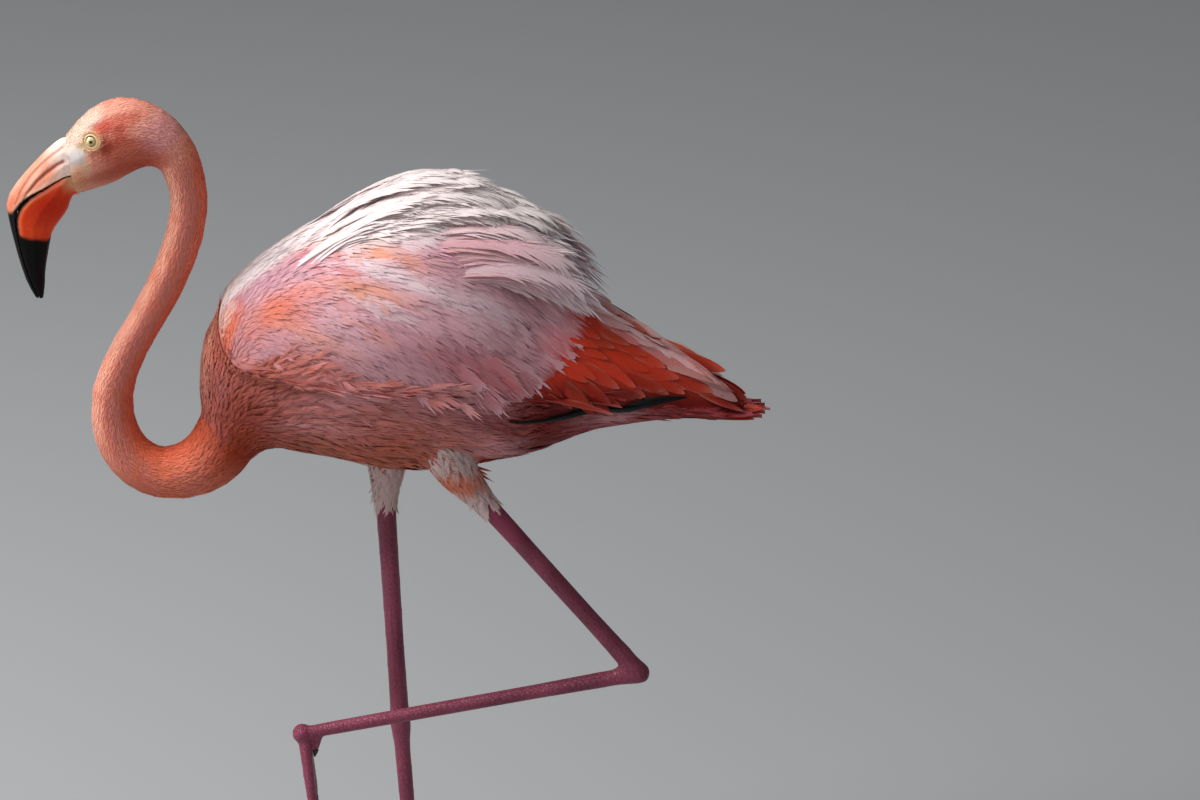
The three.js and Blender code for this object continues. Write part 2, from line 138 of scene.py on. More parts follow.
# %% [markdown]
# ## Floor and light
# The model stands on a plain pale floor. A broad lamp high in front of the bird lights its crown, neck and back,
# and a second, wider one on the viewer's side keeps the shadows soft, as in a small studio.

# %% Floor and lights
floor_material, tree = new_material("matte_studio_paper")
grain = add_node(tree, "TexNoise", {"Scale": 220.0, "Detail": 3.0})
add_surface(tree, Base_Color=rgba("#B4B7BA"), Roughness=0.9, Normal=add_bump(tree, grain, 0.08, 0.4 * MM))
bm = bmesh.new()
bmesh.ops.create_grid(bm, x_segments=2, y_segments=2, size=14.0)
floor_mesh = bpy.data.meshes.new("floor")
bm.to_mesh(floor_mesh)
bm.free()
floor_mesh.materials.append(floor_material)
floor = bpy.data.objects.new("floor", floor_mesh)
bpy.context.scene.collection.objects.link(floor)


def lamp(name, place, size, watts, colour):
    """A square soft box that looks at the bird."""
    data = bpy.data.lights.new(name, "AREA")
    data.shape, data.size, data.energy, data.color = "SQUARE", size, watts, colour
    made = bpy.data.objects.new(name, data)
    made.location = place
    made.rotation_euler = (Vector((0, 0, 0.6)) - Vector(place)).to_track_quat("-Z", "Y").to_euler()
    bpy.context.scene.collection.objects.link(made)


lamp("key_lamp", (-1.85, -0.4, 2.75), 1.7, 106, (1.0, 0.98, 0.95))
lamp("fill_lamp", (-0.8, -3.2, 1.9), 2.6, 15, (1.0, 0.96, 0.96))
world = bpy.data.worlds.new("studio")
world.use_nodes = True
world.node_tree.nodes["Background"].inputs["Color"].default_value = (0.93, 0.96, 1.0, 1.0)
world.node_tree.nodes["Background"].inputs["Strength"].default_value = 0.16
bpy.context.scene.world = world
bpy.context.scene.view_settings.view_transform = "Standard"

# %% [markdown]
# ## The line of the body
# A bird's head, neck and trunk are one bent tube. Its middle line is written as stations, in millimetres:
# place along x, height, half depth, half width and how far the section leans.
# Any point of the plumage can then be told by how far along the line it lies and how far round it,
# which gives the way that its feathers lie.

# %% Body line
HEAD = [(-254, 776, 25.5, 14.5, 8), (-238, 788.5, 33, 20.5, 4), (-219, 797, 35.8, 23, 0)]
HEAD += [(-201, 801, 31, 22, -6), (-184.5, 798.5, 24.5, 19.5, -18), (-171, 787, 19.3, 17.5, -40)]
NECK = [(-165.5, 774.5, 17.2, 16.3, -60), (-161.5, 757.5, 15.8, 15.4, -82), (-161, 738.5, 15.8, 15.2, -94)]
NECK += [(-167, 710.5, 15.7, 15, -107), (-180, 677.5, 15.5, 14.8, -114), (-198.5, 643.5, 15, 14.6, -119)]
NECK += [(-216, 611.5, 15.5, 15, -115), (-226, 579.5, 17.4, 16.4, -98), (-223, 546.5, 19.4, 18, -70)]
NECK += [(-210, 525, 20.6, 19.4, -38), (-189, 514, 22, 20.6, -8), (-163.5, 517.5, 24.3, 22.4, 22)]
NECK += [(-147, 529, 26.8, 24.2, 38)]
TRUNK = [(-137, 543, 29.5, 27, 47), (-127, 565.5, 43, 36, 46), (-113.5, 582, 64, 48, 39), (-93, 595.5, 79, 58, 33)]
TRUNK += [(-65, 607.5, 93, 66, 25), (-29, 620.5, 106, 71, 16), (10, 633.5, 116, 72, 10), (50, 638, 115, 70, 6)]
TRUNK += [(89, 622.5, 95, 62, 3), (125.5, 603.5, 66, 47, 1), (160, 584.5, 33, 33, 0)]
TAIL = [(196, 576, 15, 30, 0), (228, 576, 8, 32, 0), (260, 573, 4.5, 33, 0), (286, 569, 2, 26, 0)]
STEP = 12


def smooth_path(rows, steps=STEP):
    """A smooth line through rows of numbers, with a few steps from each row to the next."""
    rows = np.asarray(rows, float)
    ends = np.vstack([2 * rows[0] - rows[1], rows, 2 * rows[-1] - rows[-2]])
    t = (np.arange(steps) / steps)[:, None]
    parts = []
    for a, b, c, d in zip(ends, ends[1:], ends[2:], ends[3:]):
        cubic = (c - a) * t + (2 * a - 5 * b + 4 * c - d) * t**2 + (3 * b - a - 3 * c + d) * t**3
        parts.append(b + 0.5 * cubic)
    return np.vstack([*parts, rows[-1:]])


line = smooth_path(HEAD + NECK + TRUNK + TAIL)
LINE_XZ, LINE_DEPTH, LINE_WIDTH = line[:, :2] * MM, line[:, 2] * MM, line[:, 3] * MM
LINE_LEAN = np.radians(line[:, 4])
LINE_LONG = np.concatenate([[0], np.cumsum(np.linalg.norm(np.diff(LINE_XZ, axis=0), axis=1))])
print("line from bill to tail:", round(LINE_LONG[-1] * 1000), "mm in", len(line), "steps")

# %% [markdown]
# ## Which part of the bird is this?
# Each solid covers a stretch of the line. The nearest solid tells which part a point of the skin belongs to,
# so that the neck and the breast, which lie close together in the bend, are never confused.

# %% Parts and where they lie along the line
SPANS = {
    "head": (0, 5),
    "neck_nape": (5, 8),
    "neck_upper": (8, 11),
    "neck_middle": (11, 13.5),
    "neck_bend": (13.5, 16),
    "neck_base": (16, 19),
    "trunk": (19, 29),
    "tail": (29, 33),
}
for side in ("left", "right"):
    SPANS.update({f"wing_{side}": (19, 29), f"flight_{side}": (23, 33), f"thigh_{side}": (21, 28)})
    SPANS.update({f"{bone}_{side}": (21, 28) for bone in ("shank", "ankle", "tarsus", "foot")})
PARTS = list(SPANS)
PART = {name: i for i, name in enumerate(PARTS)}


def is_part(labels, *words):
    """Which labels name a part that starts with one of the words."""
    wanted = [i for i, name in enumerate(PARTS) if name.startswith(words)]
    return np.isin(labels, wanted)


def locate(points, labels):
    """For points on parts: the nearest step of the line, and the angle round it, 0 on top and 180 below."""
    step = np.zeros(len(points), int)
    for i, name in enumerate(PARTS):
        mine = labels == i
        if mine.any():
            first, last = (int(s * STEP) for s in SPANS[name])
            gaps = points[mine][:, None, [0, 2]] - LINE_XZ[None, first : last + 1]
            step[mine] = first + (gaps**2).sum(2).argmin(1)
    lean = LINE_LEAN[step]
    flat = points[:, [0, 2]] - LINE_XZ[step]
    up = -flat[:, 0] * np.sin(lean) + flat[:, 1] * np.cos(lean)
    return step, np.arctan2(np.abs(points[:, 1]), up)


# %% [markdown]
# ## One skin
# Copies of the flesh solids are grown by about a millimetre until they run into each other, and a voxel remesh
# melts them into one closed surface with no seams. Smoothing takes off the facets, and the surface is then
# pulled in by the depth of the plumage, so that the feathers fill the space up to the true outline.


# %% Mesh and array helpers
def corners_of(mesh):
    flat = np.empty(len(mesh.vertices) * 3)
    mesh.vertices.foreach_get("co", flat)
    return flat.reshape(-1, 3)


def triangles_of(mesh):
    mesh.calc_loop_triangles()
    flat = np.empty(len(mesh.loop_triangles) * 3, np.int32)
    mesh.loop_triangles.foreach_get("vertices", flat)
    return flat.reshape(-1, 3)


def edges_of(mesh):
    flat = np.empty(len(mesh.edges) * 2, np.int32)
    mesh.edges.foreach_get("vertices", flat)
    return flat.reshape(-1, 2)


def spread(values, edges):
    """The mean of each point's neighbours."""
    a, b = edges.T
    size = len(values)
    near = np.maximum(np.bincount(a, minlength=size) + np.bincount(b, minlength=size), 1)
    total = np.stack([np.bincount(a, v[b], size) + np.bincount(b, v[a], size) for v in values.T], 1)
    return total / near[:, None]


def unit(vectors):
    return vectors / np.maximum(np.linalg.norm(vectors, axis=1, keepdims=True), 1e-12)


def fade(value, start, end):
    """0 before start and 1 after end, with a soft change between."""
    t = np.clip((value - start) / (end - start), 0, 1)
    return t * t * (3 - 2 * t)


def normals_of(points, triangles):
    a, b, c = (points[triangles[:, k]] for k in range(3))
    faces = np.cross(b - a, c - a)
    size = len(points)
    total = [sum(np.bincount(triangles[:, k], faces[:, i], size) for k in range(3)) for i in range(3)]
    return unit(np.stack(total, 1))


def merged_copy(names, grow):
    """Copies of solids in one bmesh, with doubles merged, each grown along its normals."""
    whole = bmesh.new()
    for name in names:
        one = bmesh.new()
        one.from_mesh(nodes[name].data)
        bmesh.ops.remove_doubles(one, verts=one.verts, dist=1e-5)
        one.normal_update()
        for v in one.verts:
            v.co += v.normal * grow
        mesh = bpy.data.meshes.new("copy")
        one.to_mesh(mesh)
        whole.from_mesh(mesh)
        one.free()
        bpy.data.meshes.remove(mesh)
    return whole


def set_tint(mesh, colours, alpha=None):
    """Writes a colour for each point, with 1 or a number of its own in the fourth place."""
    fourth = np.ones((len(colours), 1)) if alpha is None else alpha
    tints = np.hstack([colours, fourth])
    mesh.attributes.new("tint", "FLOAT_COLOR", "POINT").data.foreach_set("color", tints.ravel())


def remeshed(bm, name, voxel):
    """A bmesh as an object, melted into one surface by a voxel remesh."""
    mesh = bpy.data.meshes.new(name)
    bm.to_mesh(mesh)
    bm.free()
    made = bpy.data.objects.new(name, mesh)
    bpy.context.scene.collection.objects.link(made)
    melt = made.modifiers.new("melt", "REMESH")
    melt.mode, melt.voxel_size = "VOXEL", voxel
    bake_modifiers(made)
    return made


def bake_modifiers(made):
    """Puts what an object's modifiers make into its mesh."""
    seen = made.evaluated_get(bpy.context.evaluated_depsgraph_get())
    mesh = bpy.data.meshes.new_from_object(seen)
    made.modifiers.clear()
    made.data = mesh


# %% Smoothing helpers
def smoothed(points, edges, share, rounds):
    """Points moved towards the mean of their neighbours, by a share in each round."""
    for _ in range(rounds):
        points = points + (spread(points, edges) - points) * share
    return points


def evened(points, edges, share, back, rounds):
    """Smoothing that swells back after each round, so that the shape doesn't shrink."""
    for _ in range(rounds):
        points = smoothed(points, edges, share, 1)
        points = smoothed(points, edges, -back, 1)
    return points


# %% Melt the flesh into one surface
GROW, MELT, SKIN_TRIANGLES = 1.2 * MM, 1.35 * MM, 172000
FLESH = [name for name in PARTS if name in nodes]
skin = remeshed(merged_copy(FLESH, GROW), "skin", MELT)
points, edges = corners_of(skin.data), edges_of(skin.data)
lower = (points[:, 2] < 0.475)[:, None]
points = evened(points, edges, np.where(lower, 0.3, 0.6), np.where(lower, 0.27, 0.6), 24)
x, z = points[:, 0] / MM, points[:, 2] / MM
shoulder = fade(x, -164, -158) * fade(x, -78, -104) * fade(z, 562, 580) * fade(z, 700, 670)
wing_rim = fade(x, 40, 54) * fade(x, 112, 94) * fade(z, 582, 594) * fade(z, 656, 636)
wing_rim *= fade(np.abs(points[:, 1]) / MM, 44, 52)
points = smoothed(points, edges, 0.7 * np.maximum(shoulder, wing_rim)[:, None], 45)
skin.data.vertices.foreach_set("co", points.ravel())
thin = skin.modifiers.new("thin", "DECIMATE")
thin.ratio = min(1.0, SKIN_TRIANGLES / (2 * len(skin.data.polygons)))
print("melted:", len(skin.data.polygons), "quads, thinned to", round(thin.ratio, 2))
bake_modifiers(skin)

# %% [markdown]
# ## Eyelids and the bare face
# The eye of a flamingo sits in a thin ring of bare, finely folded skin, behind a smooth bare patch that runs
# to the bill. The skin is subdivided there, so that its points can be moved as a sculptor would.

# %% Finer skin round the eyes
EYE = np.array([-235.0, 17.2, 802.5]) * MM
bm = bmesh.new()
bm.from_mesh(skin.data)
for reach in (15, 9):
    close = {
        v for v in bm.verts if abs(v.co.y) > 0.008 and math.hypot(v.co.x - EYE[0], v.co.z - EYE[2]) < reach * MM
    }
    around = [e for e in bm.edges if e.verts[0] in close and e.verts[1] in close]
    bmesh.ops.subdivide_edges(bm, edges=around, cuts=1, use_grid_fill=True)
bmesh.ops.triangulate(bm, faces=bm.faces)
bm.to_mesh(skin.data)
bm.free()
print("skin:", len(skin.data.polygons), "triangles")

# %% Label the skin and pull it in by the depth of the plumage
solid_corners, solid_faces, solid_labels = [], [], []
for name in FLESH:
    triangles = triangles_of(nodes[name].data)
    solid_faces += (triangles + len(solid_corners)).tolist()
    solid_corners += corners_of(nodes[name].data).tolist()
    solid_labels += [PART[name]] * len(triangles)
solids = BVHTree.FromPolygons(solid_corners, solid_faces)
points, edges, skin_triangles = corners_of(skin.data), edges_of(skin.data), triangles_of(skin.data)
label = np.array([solid_labels[solids.find_nearest(p)[2]] for p in points.tolist()])
COAT = {"head": 1.3, "neck": 1.2, "trunk": 4.5, "wing": 4.5, "thigh": 3.0, "tail": 2.5, "flight": 3.5}
depth = np.zeros(len(points))
for word, mm in COAT.items():
    depth[is_part(label, word)] = mm * MM
rear = np.clip((points[:, 0] - 0.13) / 0.12, 0, 1)
slim = is_part(label, "tail", "flight")
depth[slim] = depth[slim] * (1 - rear[slim]) + 1.0 * MM * rear[slim]
face = (np.hypot(points[:, 0] - EYE[0], points[:, 2] - EYE[2]) < 9 * MM) & is_part(label, "head")
depth[face] = 0.4 * MM
depth = smoothed(depth[:, None], edges, 1.0, 14)[:, 0]
joint = smoothed(is_part(label, "ankle").astype(float)[:, None], edges, 1.0, 12)
points = smoothed(points, edges, 0.7 * np.clip(joint * 1.6, 0, 1), 34)
taper = fade(points[:, 0] / MM, 252, 302)
points[:, 2] -= 0.5 * taper * (points[:, 2] - 0.573)
points[:, 1] -= 0.35 * taper * points[:, 1]
legs = is_part(label, "shank", "ankle", "tarsus", "foot") & (points[:, 2] < 0.47)
depth[legs & (depth < 0.6 * MM)] = 0
out = normals_of(points, skin_triangles)
points -= out * (GROW + depth)[:, None]

# %% Raise the eyelids and smooth the bare patch
around = np.hypot(points[:, 0] - EYE[0], points[:, 2] - EYE[2]) / MM
turn = np.arctan2(points[:, 2] - EYE[2], points[:, 0] - EYE[0])
on_face = is_part(label, "head") & (np.abs(points[:, 1]) > 8 * MM) & (around < 12)
wave = 0.25 * np.sin(3 * turn + 1.1) + 0.15 * np.sin(5 * turn)
lid = np.exp(-(((around - 4.5) / 0.5) ** 2)) * (0.4 + 0.2 * np.sin(turn))
FOLDS = ((-0.12, 5.6, 0, 0.3), (0.3, 6.3, 1, 0.4), (0.35, 7.5, 1.4, 0.45), (0.2, 9.0, 1.8, 0.5))
fold = sum(high * np.exp(-(((around - reach - tilt * wave) / wide) ** 2)) for high, reach, tilt, wide in FOLDS)
socket = np.clip((3.9 - around) / 0.4, 0, 1)
for sign in (-1, 1):
    beside = on_face & (points[:, 1] * sign > 0)
    fitted = np.stack([np.ones(len(points)), points[:, 0] - EYE[0], points[:, 2] - EYE[2]], 1)
    rim = beside & (around > 7.3) & (around < 9.5)
    flat = fitted @ np.linalg.lstsq(fitted[rim], points[rim, 1], rcond=None)[0]
    share = beside * (1 - fade(around, 6.2, 7.6))
    points[:, 1] += (flat - points[:, 1]) * share
rise = np.where(on_face, (lid + fold - 3.0 * socket) * MM, 0.0)
bare = ((points[:, 0] + 0.2485) / (9 * MM)) ** 2 + ((points[:, 2] - 0.7885) / (6.5 * MM)) ** 2
bare_patch = np.where(is_part(label, "head") & (np.abs(points[:, 1]) > 8 * MM), np.exp(-(bare**1.5)), 0.0)
rise += 1.6 * MM * bare_patch
points[:, 1] += np.sign(points[:, 1]) * rise
out = normals_of(points, skin_triangles)
lie = out.copy()
for _ in range(10):
    lie = unit(spread(lie, edges))
skin.data.vertices.foreach_set("co", points.ravel())
skin.data.update()
SKIN = BVHTree.FromPolygons(points.tolist(), skin_triangles.tolist())
step, angle = locate(points, label)
print("skin labelled:", {name: int((label == i).sum()) for i, name in enumerate(PARTS) if "right" not in name})

# %% [markdown]
# ## The markings
# A flamingo's colour comes from its food, so it runs from white through salmon to red with no hard borders.
# The markings are painted by place: a ground colour for each part, then soft oval marks on both sides. Some of the
# paint is light and shade: a sunlit back, lit and glowing edges of the neck and head, and painted shade low on the
# wing, flank, thigh and undertail.
# Skin and feathers ask the same function, so that no wrong colour shows between two feathers.


# %% Soft marks
def blend(ground, other, share):
    return ground + (other - ground) * share[:, None]


def paint_on(colours):
    """A brush that lays an ink over these colours, by a share for each place."""

    def paint(ink, share):
        colours[:] = blend(colours, tone(ink) if isinstance(ink, str) else ink, share)

    return paint


def spot(places, x, z, long, high, turn=0.0, soft=0.7):
    """The share of an oval mark at each place. Its middle and half sizes are in millimetres, its turn in degrees."""
    dx, dz = places[:, 0] / MM - x, places[:, 2] / MM - z
    c, s = math.cos(math.radians(turn)), math.sin(math.radians(turn))
    return 1 - fade(np.hypot((dx * c + dz * s) / long, (dz * c - dx * s) / high), 1 - soft, 1 + soft)


def near(gap, wide):
    """1 where a gap is nought, falling off softly over a width."""
    return np.exp(-((gap / wide) ** 2))


def gap_to_line(places, way_points):
    """How far each place lies from a bent line in the (x, z) plane, in mm."""
    flat, best = places[:, [0, 2]] / MM, np.full(len(places), np.inf)
    for a, b in zip(np.array(way_points, float), np.array(way_points[1:], float)):
        t = np.clip(((flat - a) @ (b - a)) / ((b - a) @ (b - a)), 0, 1)[:, None]
        best = np.minimum(best, np.linalg.norm(flat - a - t * (b - a), axis=1))
    return best


def ripple(places, size, seed):
    """A soft random number from -1 to 1 that changes over about a size in millimetres."""
    rng = np.random.default_rng(seed)
    ways = rng.normal(size=(9, 3)) * (2.2 / (size * MM))
    return np.sin(places @ ways.T + rng.random(9) * 6.283).sum(1) / 4.0


# %% Plumage colours
SALMON, NECK_MAUVE, NECK_EDGE_PAINTED_GLOW = tone("#E2826C"), tone("#CB7D74"), tone("#F2714A")
FACE, CHEEK, CRIMSON = tone("#EBA28C"), tone("#C65F49"), tone("#C94E3C")
CREAM, BARE_GREY = tone("#F3D8C6"), tone("#D6CCCA")
BREAST, FLANK, FLANK_PALE = tone("#A23410"), tone("#D0807A"), tone("#DDA2A6")
BELLY, RUST = tone("#B25229"), tone("#9E3E20")
MANTLE_PALE_AND_SUNLIT, COVERT, COVERT_SHADE = tone("#F6E9EA"), tone("#E8B7C1"), tone("#D493A2")
LOW_WING_PAINTED_SHADE, COVERT_WHITE, STRAW = tone("#C58E96"), tone("#F1DEE4"), tone("#F2DFB9")
CORAL, WRIST, ROSE = tone("#EC9A78"), tone("#E4734F"), tone("#D2666C")
FLAME, FLAME_DEEP_AND_SHADED, BLACK = tone("#D23A20"), tone("#82140C"), tone("#070505")
VENT, THIGH, THIGH_ORANGE = tone("#9C3C42"), tone("#D8BFBA"), tone("#DB6F47")
LEG, LEG_DARK = tone("#94405A"), tone("#6F2740")


# Oval marks on the head: middle (x, z), half sizes and turn, with a tint and a strength.
FACE_SPOTS = [
    # Partly paler feathers and partly a painted highlight: the top of the crown, where the light falls.
    (-208, 832, 28, 10, -6, tone("#EFA490"), 0.9),
    (-240, 813, 17, 8, 50, CREAM, 0.9),
    (-204, 791, 30, 17, -10, CHEEK, 0.9),
    # Partly deeper red and partly painted shade: the lower cheek, on the underside of the head.
    (-212, 776, 28, 8, 14, tone("#BA4A30"), 0.75),
    # Partly lilac feathers and partly a painted highlight on the back of the head.
    (-181, 808, 14, 16, -50, tone("#D58E94"), 0.6),
    (-214, 817, 22, 6, 20, CRIMSON, 0.65),
    (-227, 813, 8, 4, 25, CRIMSON, 0.7),
    (-213, 808, 6, 8, -20, tone("#B63E2A"), 0.6),
    (-224.5, 799, 6, 8, 10, tone("#8F2A16"), 0.8),
    (-247, 801, 8, 9, 30, CREAM, 0.8),
    (-243, 796, 6, 4, 35, tone("#B9A068"), 0.7),
    (-241, 784, 3.5, 11, 12, tone("#D2BE92"), 0.7),
    (-246, 769, 5, 8, 20, tone("#CE8E5A"), 0.7),
    (-248.5, 788.5, 9, 6.5, 25, BARE_GREY, 1.0),
]
EYE_RINGS = [(7.2, 1.2, "#D9B184", 0.7), (6.0, 0.5, "#96703E", 0.7)]
EYE_RINGS += [(4.9, 0.8, "#E2CC96", 1.0), (4.0, 0.2, "#5E3E22", 0.7)]
FACE_EDGES = [([(-257, 800), (-254, 776)], CREAM, 7.0, 0.95), ([(-254, 774), (-248, 757)], tone("#DDA47C"), 5.0, 0.8)]


def face_colours(places, colours):
    """The head's marks: cream brow and bill edge, crimson crown patches, pale eye ring, grey bare patch, partly
    painted highlight on the crown and nape, and partly painted shade low on the cheek.
    """
    colours = colours.copy()
    paint = paint_on(colours)
    for rows, ink, wide, most in FACE_EDGES:
        paint(ink, most * near(gap_to_line(places, rows), wide))
    for x, z, long, high, turn, ink, most in FACE_SPOTS:
        paint(ink, most * spot(places, x, z, long, high, turn, 0.5))
    ring = np.hypot(places[:, 0] - EYE[0], places[:, 2] - EYE[2]) / MM
    for reach, wide, ink, most in EYE_RINGS:
        paint(ink, most * near(ring - reach, wide) * (np.abs(places[:, 1]) > 8 * MM))
    return colours


# Lines in (x, z) mm along the front of the folded wing, with a tint, a half width and a strength.
WING_LINES = [
    ([(-146, 638), (-134, 662), (-124, 685), (-102, 705), (-73, 713), (-56, 711), (-48, 702)], ROSE, 4.5, 0.9),
    ([(-132, 648), (-117, 676), (-97, 695), (-74, 702), (-58, 700)], tone("#D3A0AE"), 6.0, 0.8),
    ([(-116, 648), (-102, 671), (-84, 686), (-66, 693), (-50, 692)], WRIST, 5.0, 0.55),
    ([(-152, 640), (-149, 606)], ROSE, 4.0, 0.7),
    ([(-125, 662), (-134, 637), (-131, 606), (-126, 590)], WRIST, 5.5, 0.95),
    ([(-131, 661), (-143, 637), (-140, 608)], tone("#F6D6C4"), 3.0, 0.95),
]
# Oval marks on the wing: middle (x, z), half sizes and turn, with a tint and a strength.
WING_SPOTS = [
    (-92, 673, 20, 9, 25, WRIST, 0.75),
    (-112, 622, 16, 14, -30, WRIST, 0.45),
    (-20, 723, 28, 6, -6, CORAL, 0.95),
    (-28, 713, 30, 5, -8, COVERT_WHITE, 0.8),
    (-28, 698, 26, 6, -5, CORAL, 0.9),
    (-22, 688, 22, 5, -14, COVERT_WHITE, 0.6),
    (-27, 671, 10, 6, -30, CORAL, 0.6),
    (-66, 660, 26, 6, -20, CORAL, 0.45),
    (-60, 640, 30, 8, -25, WRIST, 0.35),
    (20, 700, 40, 5, -22, COVERT_WHITE, 0.7),
    (66, 688, 34, 5, -32, COVERT_WHITE, 0.6),
    (98, 704, 30, 9, -25, CORAL, 0.5),
    (78, 632, 24, 9, -55, ROSE, 0.6),
    (36, 646, 26, 7, -45, ROSE, 0.3),
    (120, 640, 18, 8, -55, ROSE, 0.5),
    (-52, 735, 26, 4, 38, STRAW, 0.6),
]
FLANK_TOP = [(-160, 575), (-145, 588), (-123, 606), (-110, 626), (-88, 641), (-68, 640), (-50, 631), (-15, 620)]
FLANK_TOP += [(21, 618), (66, 611), (85, 588), (100, 560)]


def above_flank(places):
    """How far each place lies above the upper edge of the flank feathers, in mm, as seen from the side."""
    return places[:, 2] / MM - np.interp(places[:, 0] / MM, *np.array(FLANK_TOP, float).T)


MANTLE_EDGE = [(-160, 604), (-146, 642), (-134, 667), (-124, 690), (-102, 711)]
MANTLE_EDGE += [(-73, 719), (-49, 722), (4, 731), (90, 742)]


def plumage(places, labels, steps, angles):
    """The colour of the plumage, or of the bare skin, at each place, with some painted highlights and painted shade.
    """
    size = len(places)
    x, z, side = places[:, 0] / MM, places[:, 2] / MM, np.abs(places[:, 1]) / MM
    station = steps / STEP
    colours = np.tile(SALMON, (size, 1))
    paint = paint_on(colours)
    paint(NECK_MAUVE, 0.6 * near(angles - 1.5, 0.6))
    # Painted glow: the back edge of the neck is painted a brighter orange, as where light shines through its
    # feathers.
    paint(NECK_EDGE_PAINTED_GLOW, 0.75 * fade(angles, 1.3, 0.4))
    # Painted highlight: the front of the upper neck is painted paler, as where the light falls on it.
    paint("#FBB49C", 0.9 * fade(angles, 1.7, 2.4) * fade(station, 16, 13))
    paint(WRIST, 0.35 * fade(ripple(places, 16, 3), 0.0, 1.0) + 0.4 * fade(station, 13.5, 16))
    paint(FACE, 1 - fade(station, 3.5, 6.5))
    head = is_part(labels, "head")
    colours[head] = face_colours(places[head], colours[head])
    trunk = ~is_part(labels, "head", "neck")
    colours[trunk] = FLANK
    paint(FLANK_PALE, trunk * 0.7 * fade(ripple(places, 22, 5), 0.0, 0.9))
    paint(RUST, trunk * 0.45 * fade(ripple(places * np.array([1, 1, 3]), 26, 6), 0.3, 1.1))
    paint(BELLY, trunk * 0.75 * fade(angles, 1.9, 2.6) * fade(x, 60, 20))
    front = fade(station, 16.5, 19.0) * (1 - fade(x, -126, -66))
    paint(BREAST, front * (0.6 + 0.4 * fade(angles, 1.0, 2.0)))
    paint("#D2705A", front * trunk * 0.8 * fade(z + 0.3 * (x + 150), 602, 638))
    paint("#F0B49C", front * trunk * 0.6 * fade(side, 30, 12) * fade(z, 560, 600))
    for sx, sz, long, high, ink, most in (
        (-56, 634, 13, 6, WRIST, 0.7),
        (-22, 622, 10, 5, WRIST, 0.5),
        (-2, 612, 11, 7, tone("#B8402A"), 0.7),
        (16, 608, 12, 5, WRIST, 0.4),
        (50, 594, 46, 17, tone("#D3989F"), 0.75),
        (88, 592, 12, 6, tone("#A8302C"), 0.7),
        # Painted shade: a dark patch on the flank under the lower edge of the wing.
        (70, 580, 34, 11, tone("#8A3C38"), 0.75),
    ):
        paint(ink, trunk * most * spot(places, sx, sz, long, high, -14))
    above = is_part(labels, "wing", "flight") & (above_flank(places) > 0)
    above |= trunk & (z > 672 - 0.35 * np.maximum(x, 0))
    colours[above] = COVERT
    paint(COVERT_SHADE, above * 0.6 * fade(ripple(places, 30, 8), -0.1, 1.0))
    # Painted shade: the wing is painted darker towards its lower edge, with a dark mauve patch low on it, as where
    # the lower wing turns away from the light.
    paint(LOW_WING_PAINTED_SHADE, above * 0.85 * fade(z + 0.12 * x, 688, 622))
    paint("#9C5358", above * 0.7 * spot(places, 66, 634, 44, 17, -22))
    for rows, ink, wide, most in WING_LINES:
        paint(ink, above * most * near(gap_to_line(places, rows), wide))
    for sx, sz, long, high, turn, ink, most in WING_SPOTS:
        paint(ink, above * most * spot(places, sx, sz, long, high, turn, 0.6))
    # The back above the mantle edge is painted near white: partly pale plumage and partly a painted sunlit highlight
    # on the top of the bird.
    edge_x, edge_z = np.array(MANTLE_EDGE, float).T
    lifted = z - np.interp(x, edge_x, edge_z)
    sunlit_band = above * np.maximum(fade(lifted, -4, 5), fade(side, 30, 18) * fade(z, 640, 665))
    paint(MANTLE_PALE_AND_SUNLIT, sunlit_band)
    paint(STRAW, sunlit_band * 0.35 * fade(ripple(places, 16, 9), 0.4, 1.0) * fade(x, 0, -60))
    red = fade(x - (z - 611) * 0.45 + 7 * ripple(places, 16, 11), 116, 124)
    low = fade(z - np.interp(x, [70, 100, 125, 140], [586, 602, 622, 640]), 4, -4)
    red = above * np.maximum(red, fade(x, 64, 78) * low)
    paint(FLAME, red)
    paint(WRIST, red * 0.7 * fade(ripple(places, 24, 12), 0.1, 0.8))
    # Partly deeper red and partly painted shade: the red is painted darker towards its lower edge, above the black
    # flight feathers.
    paint(FLAME_DEEP_AND_SHADED, red * fade(z - 600 + (x - 150) * 0.15, 26, -8))
    margin = z - np.interp(x, [120, 168, 210, 253, 300], [700, 652, 624, 596, 573])
    paint("#F3CDCD", red * 0.85 * fade(margin + 2 * ripple(places, 20, 13), -5, 3))
    vent = trunk * ~above * fade(x, 76, 104)
    streaks = fade(ripple(places * np.array([1, 1, 2.5]), 16, 15), -0.5, 0.9)
    paint(VENT, vent)
    # Dark red streaks, full over the front of the undertail: partly dark red feathers and partly painted shadow under
    # the wing.
    paint("#701810", vent * 0.9 * np.maximum(streaks, fade(x, 150, 120)))
    # Painted highlight: a pale lilac gleam on the undertail.
    paint("#DDA3A6", vent * 0.8 * spot(places, 166, 574, 20, 6, 10))
    paint("#CFA0A8", trunk * 0.7 * spot(places, 73, 553, 12, 11, -15))
    thigh = is_part(labels, "thigh")
    colours[thigh] = THIGH
    # Painted shade: the far thigh is painted browner towards its rear.
    paint("#A98A7E", thigh * 0.7 * fade(x, 0, 14) * (places[:, 1] > 0))
    paint(THIGH_ORANGE, (trunk | thigh) * 0.9 * spot(places, 42, 529, 28, 9, 0))
    leg = is_part(labels, "shank", "ankle", "tarsus", "foot")
    colours[leg] = LEG
    paint(LEG_DARK, leg * 0.7 * fade(ripple(places, 30, 21), -0.3, 1.0))
    return np.clip(colours, 0.0, 1.0)


skin_colours = plumage(points, label, step, angle)
print("mean skin colour:", skin_colours.mean(0).round(3))

